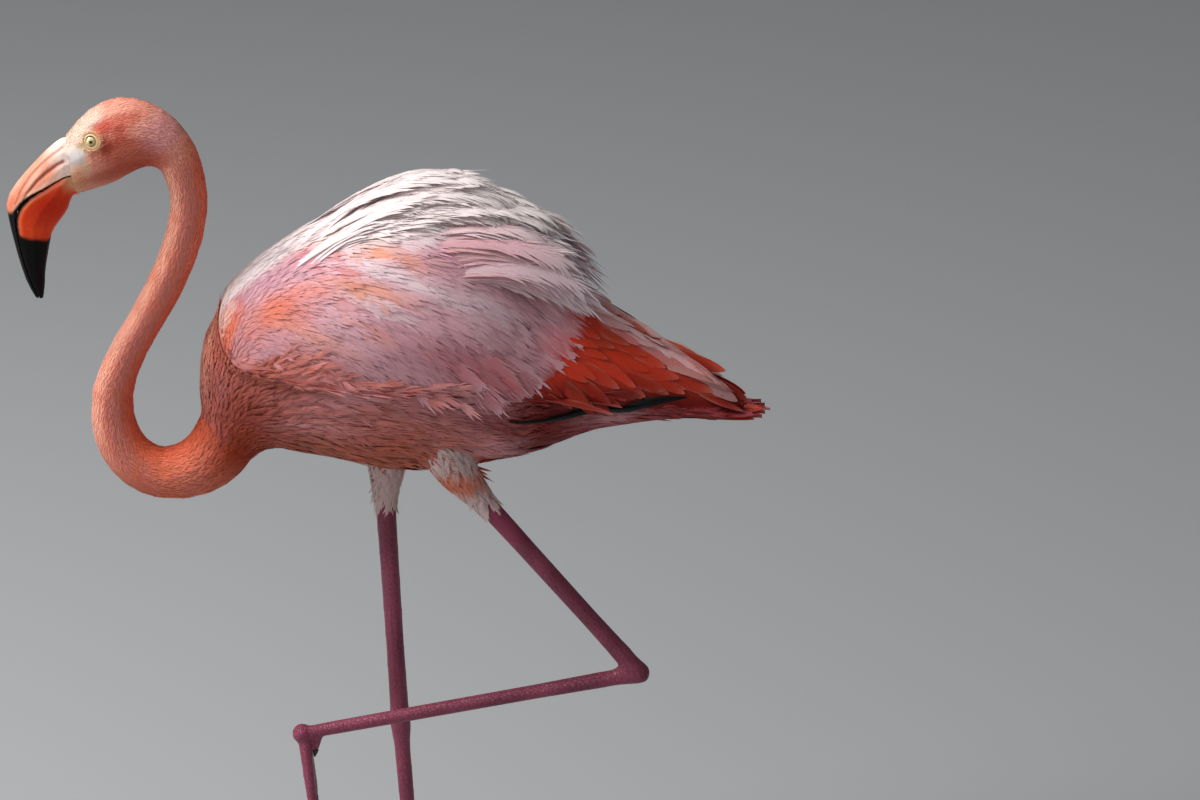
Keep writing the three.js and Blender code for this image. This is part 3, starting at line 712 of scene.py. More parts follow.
# %% [markdown]
# ## Feather shapes
# A small feather is a closed pod, flattened, with its shaft as a ridge: a ball from bmesh, squeezed to an outline.
# A loose feather is a lock of such pods, its barbs, fanned from one root. Each has from a dozen to two hundred
# faces, since thousands are laid by arrays. Each shape runs from its root at 0 to its tip at 1.


# %% Feather templates
def pod(around, along, outline):
    """A closed flat pod: corners as (along, across, up), and triangles."""
    bm = bmesh.new()
    bmesh.ops.create_uvsphere(bm, u_segments=around, v_segments=along, radius=1.0)
    bmesh.ops.triangulate(bm, faces=bm.faces)
    corners = np.array([v.co for v in bm.verts])
    faces = np.array([[v.index for v in f.verts] for f in bm.faces])
    bm.free()
    x = (1 - corners[:, 2]) / 2
    ring = np.hypot(corners[:, 0], corners[:, 1])
    turn = np.where(ring > 1e-6, 1 / np.maximum(ring, 1e-6), 0)
    wide = outline(np.clip(x, 0, 1)) * 0.5
    shaped = np.stack([x, corners[:, 1] * turn * wide, corners[:, 0] * turn * (1.1 - x) * 0.5], 1)
    return shaped, faces


def barb_outline(x):
    return np.where(x < 0.3, (x / 0.3) ** 0.5, np.clip((1 - x) / 0.7, 0, 1) ** 0.75)


def round_outline(x):
    tip = np.sqrt(np.clip(1 - np.clip((x - 0.5) / 0.5, 0, 1) ** 2.6, 0, 1))
    return np.where(x < 0.5, 0.35 + 0.65 * np.sin(x * math.pi), tip)


def long_outline(x):
    tip = (1 - np.clip((x - 0.25) / 0.75, 0, 1) ** 3.0) ** 0.7
    return np.where(x < 0.25, 0.4 + 0.6 * np.sin(x * 2 * math.pi), tip)


def slim_outline(x):
    return np.where(x < 0.4, np.sin(x / 0.8 * math.pi), 1 - np.clip((x - 0.4) / 0.6, 0, 1) ** 2.2)


def together(parts):
    """Several templates as one."""
    corners, faces, start = [], [], 0
    for c, f in parts:
        corners.append(c)
        faces.append(f + start)
        start += len(c)
    return np.vstack(corners), np.vstack(faces)


def lock(barbs, fan, seed, early=0.4, uneven=0.3, fine=1.8, along=3):
    """Barbs fanned from one root. early is how far up the shaft the last ones start."""
    rng = np.random.default_rng(seed)
    corners, faces = pod(3, along, barb_outline)
    parts = []
    for k in range(barbs):
        f = 2 * (k + 0.5) / barbs - 1
        start = np.array([early * rng.random(), f * 0.12])
        end = np.array([1 - 0.18 * f * f - uneven * rng.random(), f * fan + 0.06 * rng.normal()])
        way = end - start
        across = np.array([-way[1], way[0]]) / np.hypot(*way) * fine / barbs
        flat = start + corners[:, :1] * way + corners[:, 1:2] * across
        up = corners[:, 2:] + 0.8 * rng.random() + 0.5 * np.sin(corners[:, :1] * math.pi) * rng.random()
        parts.append((np.hstack([flat, up]), faces))
    return together(parts)


def soft_leaf(seed, barbs=7):
    """A covert: a smooth leaf whose rim frays into short barbs."""
    rng = np.random.default_rng(seed)
    leaf, leaf_faces = pod(8, 8, round_outline)
    parts = [(leaf * np.array([0.9, 0.66, 1.0]), leaf_faces)]
    thread, thread_faces = pod(3, 2, barb_outline)
    for side in (-1, 1):
        for k in range(barbs):
            x = 0.12 + 0.68 * (k + rng.random()) / barbs
            start = np.array([x, side * 0.14])
            end = start + np.array([0.34 * (1.12 - 0.5 * x), side * (0.36 * (1.02 - x) + 0.05 * rng.random())])
            way = end - start
            across = np.array([-way[1], way[0]]) / np.hypot(*way) * 0.17
            flat = start + thread[:, :1] * way + thread[:, 1:2] * across
            parts.append((np.hstack([flat, thread[:, 2:] + 0.7 * rng.random() * thread[:, :1]]), thread_faces))
    return together(parts)


SPECKS = [pod(3, 3, barb_outline)] + [lock(2, 0.22, s, 0.1, 0.25, 1.7, 2) for s in (1, 2)]
TUFTS = [lock(3, 0.3, s, 0.1, 0.25, 1.8, 2) for s in (3, 4, 5)]
LOCKS = [lock(6, 0.42, s, 0.35, 0.3, 1.9) for s in (6, 7, 8, 9)]
FINE_LOCKS = [lock(8, 0.3, s, 0.5, 0.3, 1.9, 2) for s in (13, 14, 15, 16)]
SILKY_LOCKS = [lock(8, 0.3, s, 0.5, 0.3, 1.9, 3) for s in (25, 26, 27, 28)]
SOFT_VANES = [soft_leaf(s) for s in (17, 18, 19, 24)]
LONG = [pod(10, 10, long_outline)]
SHAPES = {"speck": SPECKS, "tuft": TUFTS, "lock": LOCKS, "silky lock": SILKY_LOCKS, "leaf": SOFT_VANES, "long": LONG}
print("faces in one feather:", {name: len(shapes[0][1]) for name, shapes in SHAPES.items()})

# %% [markdown]
# ## Planting
# Roots are thrown at random on the skin, and a root that falls too near another is dropped, as on a real bird
# no two feathers share a follicle. Each feather then bends over three points: its root, the skin half way
# along it and the skin under its tip, a little raised so that it lies over the feather behind it.


# %% Roots on the skin
NEXT = [(dx, dy, dz) for dx in (-1, 0, 1) for dy in (-1, 0, 1) for dz in (-1, 0, 1)]


def scatter(wanted, gap, seed, crowd=5):
    """Random roots on the skin's wanted points' faces, at least gap(places) metres apart."""
    rng = np.random.default_rng(seed)
    faces = skin_triangles[wanted[skin_triangles].all(1)]
    a, b, c = (points[faces[:, k]] for k in range(3))
    area = np.linalg.norm(np.cross(b - a, c - a), axis=1) / 2
    middle = (a + b + c) / 3
    need = area / gap(middle) ** 2
    count = int(need.sum() * crowd)
    pick = rng.choice(len(faces), count, p=need / need.sum())
    u, v = rng.random((2, count))
    flip = u + v > 1
    u, v = np.where(flip, 1 - u, u)[:, None], np.where(flip, 1 - v, v)[:, None]
    places = a[pick] + u * (b - a)[pick] + v * (c - a)[pick]
    gaps = gap(places)
    cell = gaps.max()
    keys = np.floor(places / cell).astype(int).tolist()
    taken, kept = {}, []
    for i, ((kx, ky, kz), (px, py, pz), g) in enumerate(zip(keys, places.tolist(), gaps.tolist())):
        close = False
        for dx, dy, dz in NEXT:
            for qx, qy, qz in taken.get((kx + dx, ky + dy, kz + dz), ()):
                if (px - qx) ** 2 + (py - qy) ** 2 + (pz - qz) ** 2 < g * g:
                    close = True
                    break
            if close:
                break
        if not close:
            taken.setdefault((kx, ky, kz), []).append((px, py, pz))
            kept.append(i)
    corner = faces[pick[kept], 0]
    made = {"place": places[kept], "out": lie[corner], "label": label[corner]}
    made["step"], made["angle"] = locate(made["place"], made["label"])
    return made


def even_gap(mm):
    return lambda places: np.full(len(places), mm * MM)


def chosen_of(roots, chosen):
    return {key: value[chosen] for key, value in roots.items()}


# %% The lie of the feathers
COVERTS = [(-142, 652, 8), (-131, 655, 32), (-108, 661, 44), (-72, 668, 56), (-28, 674, 68), (20, 678, 75)]
COVERTS += [(64, 673, 72), (104, 654, 64), (142, 636, 51), (180, 618, 38), (220, 600, 26)]
COVERTS += [(252, 587, 16), (300, 575, 8)]
WING_X, WING_Z, WING_HALF = np.array(COVERTS, float).T * MM


def along_line(roots):
    """The way along the body at each root: how the surface runs as one moves down its middle line."""
    step, turn = roots["step"], roots["angle"]
    side = np.sign(roots["place"][:, 1])
    a, b = np.maximum(step - 3, 0), np.minimum(step + 3, len(line) - 1)

    def on_body(s):
        up = LINE_DEPTH[s] * np.cos(turn)
        x = LINE_XZ[s, 0] - up * np.sin(LINE_LEAN[s])
        z = LINE_XZ[s, 1] + up * np.cos(LINE_LEAN[s])
        return np.stack([x, side * LINE_WIDTH[s] * np.sin(turn), z], 1)

    return unit(on_body(b) - on_body(a))


def lie_of(roots):
    """The way each feather points."""
    place, labels = roots["place"], roots["label"]
    way = along_line(roots)
    x = place[:, 0] / MM
    trunk = is_part(labels, "trunk", "tail", "wing", "flight")
    drift = np.where(x > 80, 7.0, -16.0)
    level = np.stack([np.cos(np.radians(drift)), 0 * x, np.sin(np.radians(drift))], 1)
    share = trunk * fade(x, -110, -20) * 0.75
    way = way * (1 - share[:, None]) + level * share[:, None]
    wing = is_part(labels, "wing", "flight")
    middle = np.interp(place[:, 0], WING_X, WING_Z)
    half = np.interp(place[:, 0], WING_X, WING_HALF)
    high = np.clip((place[:, 2] - middle) / half, -1, 1)
    front = 1 - fade(x, -140, -40)
    low = (1 - high) / 2
    sag = 32 * low * fade(x, -110, -20) * fade(x, 190, 110)
    slope = np.radians(-14 - 14 * fade(x, 0, 90) * (1 - low) - sag - 8 * front)
    fan = np.stack([np.cos(slope), 0 * x, np.sin(slope)], 1)
    dx, dz = x + 78, place[:, 2] / MM - 642
    bend = unit(np.stack([dz, 0 * x, -dx], 1))
    near_edge = (fade(np.hypot(dx, dz), 30, 56) * fade(x, -40, -85) * fade(dz, -40, 0))[:, None]
    fan = unit(fan * (1 - near_edge) + bend * near_edge)
    way = np.where((wing & (above_flank(place) > 0))[:, None], fan, way)
    thigh = is_part(labels, "thigh")
    down_left, down_right = unit(np.array([[0.45, 0.0, -0.9], [-0.1, 0.0, -1.0]]))
    down = np.where((place[:, 1] < 0)[:, None], down_left, down_right)
    way = np.where(thigh[:, None], down, way)
    out = roots["out"]
    return unit(way - out * (way * out).sum(1)[:, None])


def on_skin(place, out, reach, rise):
    """The skin's nearest point to each place, raised a little. A place in the air beyond an edge stays straight."""
    found = [SKIN.find_nearest(p) for p in place.tolist()]
    spot_on = np.array([f[0] for f in found])
    face_out = np.array([f[1] for f in found])
    lost = (np.linalg.norm(spot_on - place, axis=1) > reach) | ((face_out * out).sum(1) < 0.2)
    spot_on[lost] = place[lost]
    face_out[lost] = out[lost]
    return spot_on + face_out * rise[:, None], face_out


def tinted(roots, ways, long, seed, uneven):
    """Tints at each feather's root and under its tip, a little lighter or darker from one feather to the next."""
    rng = np.random.default_rng(seed)
    even = 1 + uneven * rng.normal(size=(len(ways), 1))
    ends = roots["place"] + ways * np.broadcast_to(long, len(ways))[:, None] * 0.8
    told = roots["label"], roots["step"], roots["angle"]
    return (plumage(roots["place"], *told) * even).clip(0, 1), (plumage(ends, *told) * even).clip(0, 1)


# %% Laying feathers as one mesh
def flat_patch(roots):
    """Where each root lies on an unwrap of the skin: along the body's line, and round it."""
    u = LINE_LONG[roots["step"]]
    v = roots["angle"] * np.sign(roots["place"][:, 1])
    both = np.stack([u, v], 1)
    low, high = both.min(0), both.max(0)
    return 0.005 + 0.985 * (both - low) / np.maximum(high - low, 1e-6)


def lay(
    name, kinds, roots, way, size, lift, colours, material, seed,
    path=None, tips=None, roll=9.0, sink=0.6, edge=(2, 3),
):
    """One joined mesh of feathers. size holds length, width and thickness; lift how far each tip is raised."""
    rng = np.random.default_rng(seed)
    count = len(roots["place"])
    long, wide, thick = (np.broadcast_to(s, count).astype(float) for s in size)
    lift = np.broadcast_to(lift, count).astype(float)
    out = roots["out"]
    if path is None:
        spin = np.radians(rng.normal(size=count) * roll)[:, None]
        way = unit(way * np.cos(spin) + np.cross(out, way) * np.sin(spin))
        start = roots["place"] - out * (sink * MM)
        half, half_out = on_skin(start + way * long[:, None] * 0.5, out, 0.25 * long, lift * 0.55)
        end, end_out = on_skin(half + way * long[:, None] * 0.5, half_out, 0.25 * long, lift)
        low, high = (np.array(corner) for corner in cad_box)
        kept = ((end > low - 2 * MM) & (end < high + 2 * MM)).all(1)
        kept &= (unit(half - start) * unit(end - half)).sum(1) > 0.75
        kept &= ((end - start) * way).sum(1) > 0.8 * long
        kept &= np.linalg.norm(half - (start + end) / 2, axis=1) < 0.22 * long
        parts = (start, half, end, out, half_out, end_out, long, wide, thick, lift, colours)
        start, half, end, out, half_out, end_out, long, wide, thick, lift, colours = (p[kept] for p in parts)
        tips = None if tips is None else tips[kept]
        roots = chosen_of(roots, kept)
        count = len(long)
    else:
        start, half, end = path
        half_out = end_out = out
    tips = colours if tips is None else tips
    patch = flat_patch(roots)
    which = rng.integers(0, len(kinds), count)
    corners, faces, tints, vanes, bakes, total = [], [], [], [], [], 0
    for kind, (shape, shape_faces) in enumerate(kinds):
        mine = np.flatnonzero(which == kind)
        if not len(mine):
            continue
        t = shape[:, 0][None, :, None]
        p, q, r = start[mine][:, None], half[mine][:, None], end[mine][:, None]
        middle = p * (1 - t) * (1 - 2 * t) + q * 4 * t * (1 - t) + r * t * (2 * t - 1)
        along = p * (4 * t - 3) + q * (4 - 8 * t) + r * (4 * t - 1)
        along /= np.linalg.norm(along, axis=2, keepdims=True)
        up = out[mine][:, None] * (1 - t) + end_out[mine][:, None] * t
        across = np.cross(up, along)
        across /= np.linalg.norm(across, axis=2, keepdims=True)
        up = np.cross(along, across)
        w, h = wide[mine][:, None, None], thick[mine][:, None, None]
        bow = -0.1 * (2 * shape[:, 1]) ** 2
        made = middle + across * (w * shape[:, 1][None, :, None])
        made += up * (h * shape[:, 2][None, :, None] + w * bow[None, :, None])
        corners.append(made.reshape(-1, 3))
        first = total + np.arange(len(mine)) * len(shape)
        faces.append((shape_faces[None] + first[:, None, None]).reshape(-1, 3))
        total += len(mine) * len(shape)
        pale = np.maximum(t[0, :, 0] ** edge[0], np.abs(shape[:, 1] * 2) ** edge[1])[None, :, None].clip(0, 1)
        ink = colours[mine][:, None] * (1 - pale) + tips[mine][:, None] * pale
        shade = np.broadcast_to(t, (len(mine), len(shape), 1))
        tints.append(np.concatenate([ink, shade], 2).reshape(-1, 4))
        start_at = rng.random(len(mine))[:, None] * 400
        along_vane = long[mine][:, None] * shape[:, 0] / MM + start_at
        vanes.append(np.stack([wide[mine][:, None] * shape[:, 1] / MM, along_vane], 2).reshape(-1, 2))
        local = np.stack([shape[:, 1] + 0.5, shape[:, 0]], 1) * 0.003
        bakes.append((patch[mine][:, None] + local[None]).reshape(-1, 2))
    corners, faces = np.vstack(corners), np.vstack(faces)
    return joined_mesh(name, corners, faces, np.vstack(tints), np.vstack(vanes), np.vstack(bakes), material)


def joined_mesh(name, corners, faces, tints, vanes, bakes, material):
    """A mesh object from arrays, with its tint and its two maps."""
    mesh = bpy.data.meshes.new(name)
    mesh.vertices.add(len(corners))
    mesh.vertices.foreach_set("co", corners.ravel())
    mesh.loops.add(faces.size)
    mesh.loops.foreach_set("vertex_index", faces.ravel())
    mesh.polygons.add(len(faces))
    mesh.polygons.foreach_set("loop_start", np.arange(0, faces.size, 3))
    mesh.update(calc_edges=True)
    set_tint(mesh, tints[:, :3], tints[:, 3:])
    for title, flat in (("vane", vanes), ("OFBake", bakes)):
        mesh.uv_layers.new(name=title).data.foreach_set("uv", flat[faces.ravel()].ravel())
    mesh.shade_smooth()
    mesh.set_sharp_from_angle(angle=math.radians(75))
    mesh.materials.append(material)
    made = bpy.data.objects.new(name, mesh)
    bpy.context.scene.collection.objects.link(made)
    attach(made, "root")
    print(f"{name}: {len(faces)} triangles")
    return made


# %% [markdown]
# ## Feather keratin
# A feather is dry keratin: matte, with a faint silky sheen where fine barbs lie side by side. Barbs leave the
# shaft at a slant, a third of a millimetre apart. That is too fine to show at this size, so they are drawn
# about a millimetre apart, as streaks of lighter and darker tint and a shallow bump.


# %% Feather materials
def feather_material(name, barb, streak, rough, sheen):
    """A vane with slanted barbs, barb millimetres apart, over the feather's own tint."""
    made, tree = new_material(name)
    vane = add_node(tree, "UVMap", uv_map="vane")
    part = add_node(tree, "SeparateXYZ", {"Vector": vane})
    away = add_node(tree, "Math", {0: part.outputs["X"]}, operation="ABSOLUTE")
    slant = add_node(tree, "Math", {0: away, 1: -1.15, 2: part.outputs["Y"]}, operation="MULTIPLY_ADD")
    across = add_node(tree, "Math", {0: slant, 1: 1 / barb}, operation="MULTIPLY")
    down = add_node(tree, "Math", {0: part.outputs["X"], 1: 0.16}, operation="MULTIPLY")
    place = add_node(tree, "CombineXYZ", {"X": across, "Y": down})
    barbs = add_node(tree, "TexNoise", {"Vector": place, "Scale": 1.0, "Detail": 2.0}, noise_dimensions="2D")
    span = {"From Min": 0.3, "From Max": 0.7, "To Min": 1 - streak, "To Max": 1 + streak}
    light = add_node(tree, "MapRange", {"Value": barbs, **span})
    add_surface(
        tree, Base_Color=add_tint(tree, light), Roughness=rough, Normal=add_bump(tree, barbs, 0.35, 0.3 * MM),
        IOR=1.54, Specular_IOR_Level=0.2, Sheen_Weight=sheen, Sheen_Roughness=0.5,
    )
    return made


down_keratin = feather_material("down_keratin", 0.8, 0.10, 0.75, 0.08)
vane_keratin = feather_material("vane_keratin", 0.9, 0.07, 0.6, 0.08)
flight_keratin = feather_material("flight_keratin", 1.1, 0.10, 0.5, 0.05)

# %% Skin materials
plucked, tree = new_material("plucked_skin")
place = add_node(tree, "TexCoord")
pores = add_node(tree, "TexVoronoi", {"Vector": place.outputs["Object"], "Scale": 900.0})
add_surface(
    tree, Base_Color=add_tint(tree, 1.0), Roughness=0.6, Normal=add_bump(tree, pores, 0.25, 0.3 * MM),
    Specular_IOR_Level=0.3,
)

scaly, tree = new_material("scaly_leg_skin")
limb = add_node(tree, "Attribute", attribute_name="limb").outputs["Vector"]
scales = add_node(tree, "TexVoronoi", {"Vector": limb, "Scale": 1.0}, feature="DISTANCE_TO_EDGE")
crease = add_node(tree, "MapRange", {"Value": scales, "From Max": 0.12})
groove = add_node(tree, "MapRange", {"Value": crease, "To Min": 0.72, "To Max": 1.06})
add_surface(
    tree, Base_Color=add_tint(tree, groove), Roughness=0.42, Normal=add_bump(tree, crease, 0.7, 0.4 * MM),
    Specular_IOR_Level=0.45,
)

# %% Paint the skin
skin.data.materials.append(plucked)
skin.data.materials.append(scaly)
set_tint(skin.data, skin_colours)
SCALE_MM = 3.4
limb = points / MM / SCALE_MM
skin.data.attributes.new("limb", "FLOAT_VECTOR", "POINT").data.foreach_set("vector", limb.ravel())
leg_faces = legs[skin_triangles].all(1)
skin.data.polygons.foreach_set("material_index", leg_faces.astype(np.int32))
skin.data.shade_smooth()
skin.data.update()
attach(skin, "root")
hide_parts(*FLESH)

# %% [markdown]
# ## Plumage of the head and neck
# On the head and neck the feathers are small and stiff, and lie so tight that they look like velvet,
# with a fine pile that only shows along the edge. Each is a speck or a tuft of two or three barbs.

# %% Head
bald = (np.hypot(points[:, 0] - EYE[0], points[:, 2] - EYE[2]) < 7.4 * MM) | (bare_patch > 0.35)
bald |= gap_to_line(points, [(-255, 782), (-248, 757)]) < 2.0


def head_gap(places):
    return (1.0 + 0.5 * fade(places[:, 0] / MM, -240, -190)) * MM


roots = scatter(is_part(label, "head") & ~bald, head_gap, 31)
near_bill = fade(roots["place"][:, 0] / MM, -248, -205)
head_long, ways = (2.6 + 2.2 * near_bill) * MM, lie_of(roots)
inks, tips = tinted(roots, ways, head_long, 32, 0.08)
head_coat = lay(
    "plumage_head", SPECKS, roots, ways, (head_long * 1.25, 0.42 * head_long, 0.2 * MM), 0.32 * MM,
    inks, down_keratin, 33, tips=(tips * 1.14).clip(0, 1), sink=0.25,
)

# %% Neck
roots = scatter(is_part(label, "neck"), even_gap(1.65), 41)
neck_long, ways = (4.6 + 5.0 * fade(roots["step"] / STEP, 14.5, 19)) * MM, lie_of(roots)
inks, tips = tinted(roots, ways, neck_long, 42, 0.07)
neck_coat = lay(
    "plumage_neck", TUFTS, roots, ways, (neck_long * 1.15, 0.42 * neck_long, 0.24 * MM), 0.6 * MM,
    inks, down_keratin, 43, tips=(tips * 1.14).clip(0, 1), sink=0.3,
)

# %% [markdown]
# ## Breast, flanks and belly
# Body feathers are loose at their ends, so that breast and flank look combed. They grow from a finger's
# nail long at the base of the neck to about three centimetres on the flank.


# %% Breast and flanks
def body_gap(places):
    x = places[:, 0] / MM
    return (2.9 + 2.1 * fade(x, -125, -40)) * MM


upper = (points[:, 2] / MM > 664) & is_part(label, "trunk")
flank_wing = is_part(label, "wing", "flight") & (above_flank(points) < 3)
roots = scatter((is_part(label, "trunk", "tail") & ~upper | flank_wing) & (points[:, 0] < 0.1), body_gap, 51)
roots = chosen_of(roots, (roots["place"][:, 0] < 0.06) | (roots["place"][:, 2] < 0.602))
body_long, ways = (12 + 22 * fade(roots["place"][:, 0] / MM, -130, -30)) * MM, lie_of(roots)
inks, tips = tinted(roots, ways, body_long, 52, 0.11)
rusty = 0.5 * (np.random.default_rng(54).random(len(inks)) < 0.14)
flank_coat = lay(
    "plumage_flanks", LOCKS, roots, ways, (body_long, 0.33 * body_long, 0.4 * MM), 0.075 * body_long,
    blend(inks, RUST, rusty), down_keratin, 53, tips=(tips * 1.12 + 0.01).clip(0, 1), roll=11,
)

# %% Undertail and thighs
behind = (points[:, 0] >= 0.1) & (points[:, 0] < 0.262)
roots = scatter(is_part(label, "trunk", "tail") & ~upper & behind, even_gap(4.6), 61)
short = 0.02 * np.random.default_rng(64).random(len(roots["place"]))
vent_long, ways = np.clip(0.272 - short - roots["place"][:, 0], 5 * MM, 36 * MM), lie_of(roots)
inks, tips = tinted(roots, ways, vent_long, 62, 0.08)
vent_coat = lay(
    "plumage_undertail", LOCKS, roots, ways, (vent_long, 0.32 * vent_long, 0.4 * MM), 1.2 * MM,
    inks, down_keratin, 63, tips=(tips * 1.1 + 0.01).clip(0, 1),
)
roots = scatter(is_part(label, "thigh"), even_gap(2.8), 65)
inks = plumage(roots["place"], roots["label"], roots["step"], roots["angle"])
thigh_coat = lay(
    "plumage_thighs", LOCKS, roots, lie_of(roots), (17 * MM, 6 * MM, 0.45 * MM), 2.4 * MM,
    inks, down_keratin, 67, tips=(inks * 1.1 + 0.03).clip(0, 1), roll=14,
)

# %% [markdown]
# ## Back and wing coverts
# Coverts overlap like roof tiles, small at the wrist and larger towards the tail. Most are silky locks of fine
# barbs. The longest, low on the wing, are smooth leaves with a raised shaft and a rim a shade paler.

# %% Mantle
roots = scatter(upper, lambda p: (3.2 + 1.8 * fade(p[:, 0] / MM, -130, -60)) * MM, 71)
inks = plumage(roots["place"], roots["label"], roots["step"], roots["angle"])
mantle_long = (16 + 18 * fade(roots["place"][:, 0] / MM, -130, -40)) * MM
mantle_coat = lay(
    "plumage_mantle", LOCKS, roots, lie_of(roots), (mantle_long, 0.38 * mantle_long, 0.5 * MM), 0.1 * mantle_long,
    inks, down_keratin, 73, tips=(inks * 1.08 + 0.02).clip(0, 1),
)

# %% A finer layer over the shoulders and the front of the breast
edge_x, edge_z = np.array(MANTLE_EDGE, float).T
pale = points[:, 2] / MM > np.interp(points[:, 0] / MM, edge_x, edge_z) + 2
front = is_part(label, "trunk") & (points[:, 0] < -0.1) & (points[:, 2] > 0.57)
over = front | (is_part(label, "trunk", "wing") & pale & (points[:, 0] < 0.0) & (points[:, 2] > 0.6))
roots = scatter(over, lambda p: (2.6 + 1.4 * fade(p[:, 0] / MM, -130, -60)) * MM, 75)
over_long = (17 + 10 * fade(roots["place"][:, 0] / MM, -130, -40)) * MM
ways = lie_of(roots)
inks, tips = tinted(roots, ways, over_long, 77, 0.04)
over_coat = lay(
    "plumage_shoulders", FINE_LOCKS, roots, ways, (over_long, 0.3 * over_long, 0.24 * MM), 3.6 * MM,
    inks, down_keratin, 76, tips=(tips * 1.08 + 0.02).clip(0, 1), roll=5, sink=-2.0,
)


# %% Coverts
WING_FOOT = [(-160, 575), (-145, 588), (-123, 606), (-110, 626), (-88, 640)]
WING_FOOT += [(-68, 639), (-50, 630), (-15, 619), (21, 617)]
WING_FOOT += [(66, 607), (82, 588), (90, 577), (134, 577), (207, 590), (244, 586), (300, 562)]
WING_FOOT = np.array(WING_FOOT, float) * MM
RED_EDGE = [(66, 607), (85, 594), (104, 602), (121, 612), (140, 624), (156, 642), (168, 664), (182, 700)]
COVERT_FOOT = np.vstack([WING_FOOT[:9], np.array(RED_EDGE, float) * MM])


def covert_long(places):
    """How long a covert is at each place, in metres. None reaches below the wing's lower edge."""
    x = places[:, 0] / MM
    return (12 + 22 * fade(x, -145, -10) + 13 * fade(x, 20, 120)) * MM


def room_below(roots, ways, spare, foot=WING_FOOT):
    """How far each feather can run with its tip at least spare metres above the lower edge."""
    runs = np.arange(4, 79, 2) * MM
    ends = roots["place"][:, None] + ways[:, None] * runs[:, None]
    free = ends[:, :, 2] > np.interp(ends[:, :, 0], *foot.T) + spare
    return (np.minimum.accumulate(free, axis=1) * runs).max(1)


for side, sign in (("left", -1), ("right", 1)):
    wing = is_part(label, f"wing_{side}", f"flight_{side}") & (above_flank(points) > -1)
    red = points[:, 0] / MM - (points[:, 2] / MM - 611) * 0.45 > 122
    roots = scatter(wing & ~red, lambda p: 0.13 * covert_long(p) + 0.5 * MM, 81)
    roots = chosen_of(roots, room_below(roots, lie_of(roots), 0, COVERT_FOOT) > 9 * MM)
    ways = lie_of(roots)
    span = np.minimum(covert_long(roots["place"]) * 1.2, room_below(roots, ways, 0, COVERT_FOOT))
    inks, tips = tinted(roots, ways, span, 82, 0.035)
    rng = np.random.default_rng(84)
    small = roots["place"][:, 0] / MM + 14 * rng.normal(size=len(inks)) < -40
    for title, chosen, kinds in (("lesser", small, FINE_LOCKS), ("greater", ~small, SILKY_LOCKS)):
        covert_coat = lay(
            f"coverts_{title}_{side}", kinds, chosen_of(roots, chosen), ways[chosen],
            (span[chosen], 0.34 * span[chosen], 0.27 * MM), np.clip(0.045 * span[chosen], 0.5 * MM, 1.3 * MM),
            inks[chosen], vane_keratin, 83, tips=(tips[chosen] * 1.05).clip(0, 1), roll=5,
        )
    low = (points[:, 0] > 0.02) & (points[:, 2] < 0.655)
    roots = scatter(wing & ~red & low, even_gap(15), 86)
    roots = chosen_of(roots, room_below(roots, lie_of(roots), -4 * MM, COVERT_FOOT) > 24 * MM)
    ways = lie_of(roots)
    span = np.minimum(62 * MM, room_below(roots, ways, -4 * MM, COVERT_FOOT))
    inks, tips = tinted(roots, ways, span, 87, 0.03)
    leaves = lay(
        f"coverts_long_{side}", SOFT_VANES, roots, ways, (span, 0.34 * span, 0.4 * MM), 1.7 * MM,
        inks, vane_keratin, 88, tips=blend(tips, COVERT_WHITE, np.full(len(tips), 0.45)), roll=6, edge=(7, 5),
    )

# %% [markdown]
# ## Shoulder plumes
# The long shoulder feathers of a flamingo arch over its back and hang loose, with tips as fine as threads.
# Six plumes are named on each side, by root, crest and tip, and the others lie between them.
# Each is a narrow leaf with rows of loose barbs down both edges.


# %% Plume templates
def plume(seed, barbs=20):
    """A narrow leaf with long loose barbs down both edges."""
    rng = np.random.default_rng(seed)
    leaf, leaf_faces = pod(6, 8, slim_outline)
    parts = [(leaf * np.array([0.9, 0.34, 0.8]), leaf_faces)]
    thread, thread_faces = pod(3, 3, barb_outline)
    for side in (-1, 1):
        for k in range(barbs):
            x = 0.02 + 0.8 * (k + rng.random()) / barbs
            start = np.array([x, side * 0.05])
            reach = (0.22 + 0.22 * rng.random()) * (1.2 - 0.7 * x)
            end = start + np.array([reach, side * (0.36 * (1.08 - x) + 0.1 * rng.random()) * min(1, 0.12 + 2.6 * x)])
            way = end - start
            across = np.array([-way[1], way[0]]) / np.hypot(*way) * 0.085
            flat = start + thread[:, :1] * way + thread[:, 1:2] * across
            up = thread[:, 2:] + 1.0 * (rng.random() - 0.4) * thread[:, :1]
            parts.append((np.hstack([flat, up]), thread_faces))
    return together(parts)


PLUMES = [plume(s) for s in (20, 21, 22, 23)]

# %% Lay the shoulder plumes
NAMED = [  # root, crest and tip as (x, z, y) in mm, then half width and how far the flat leans outwards
    ((-70, 712, 24), (14, 764, 15), (66, 765, 9), 16, 20),
    ((-84, 692, 42), (-22, 738, 36), (44, 749, 30), 17, 40),
    ((-30, 724, 34), (44, 753, 27), (97, 738, 20), 15, 35),
    ((6, 726, 40), (80, 735, 34), (136, 705, 27), 14, 40),
    ((20, 716, 50), (92, 724, 43), (144, 695, 35), 14, 50),
    ((44, 698, 56), (110, 698, 48), (166, 662, 35), 14, 58),
]
CENTRE = [
    ((-80, 716, 0), (-8, 765, 0), (66, 771, 0), 17, 0),
    ((-34, 732, 0), (44, 766, 0), (97, 743, 0), 16, 0),
    ((6, 738, 0), (84, 746, 0), (141, 721, 0), 13, 0),
    ((16, 726, 0), (94, 737, 0), (142, 705, 0), 14, 0),
    ((48, 706, 0), (112, 710, 0), (156, 679, 0), 14, 0),
    ((70, 690, 0), (130, 684, 0), (169, 655, 0), 14, 0),
]


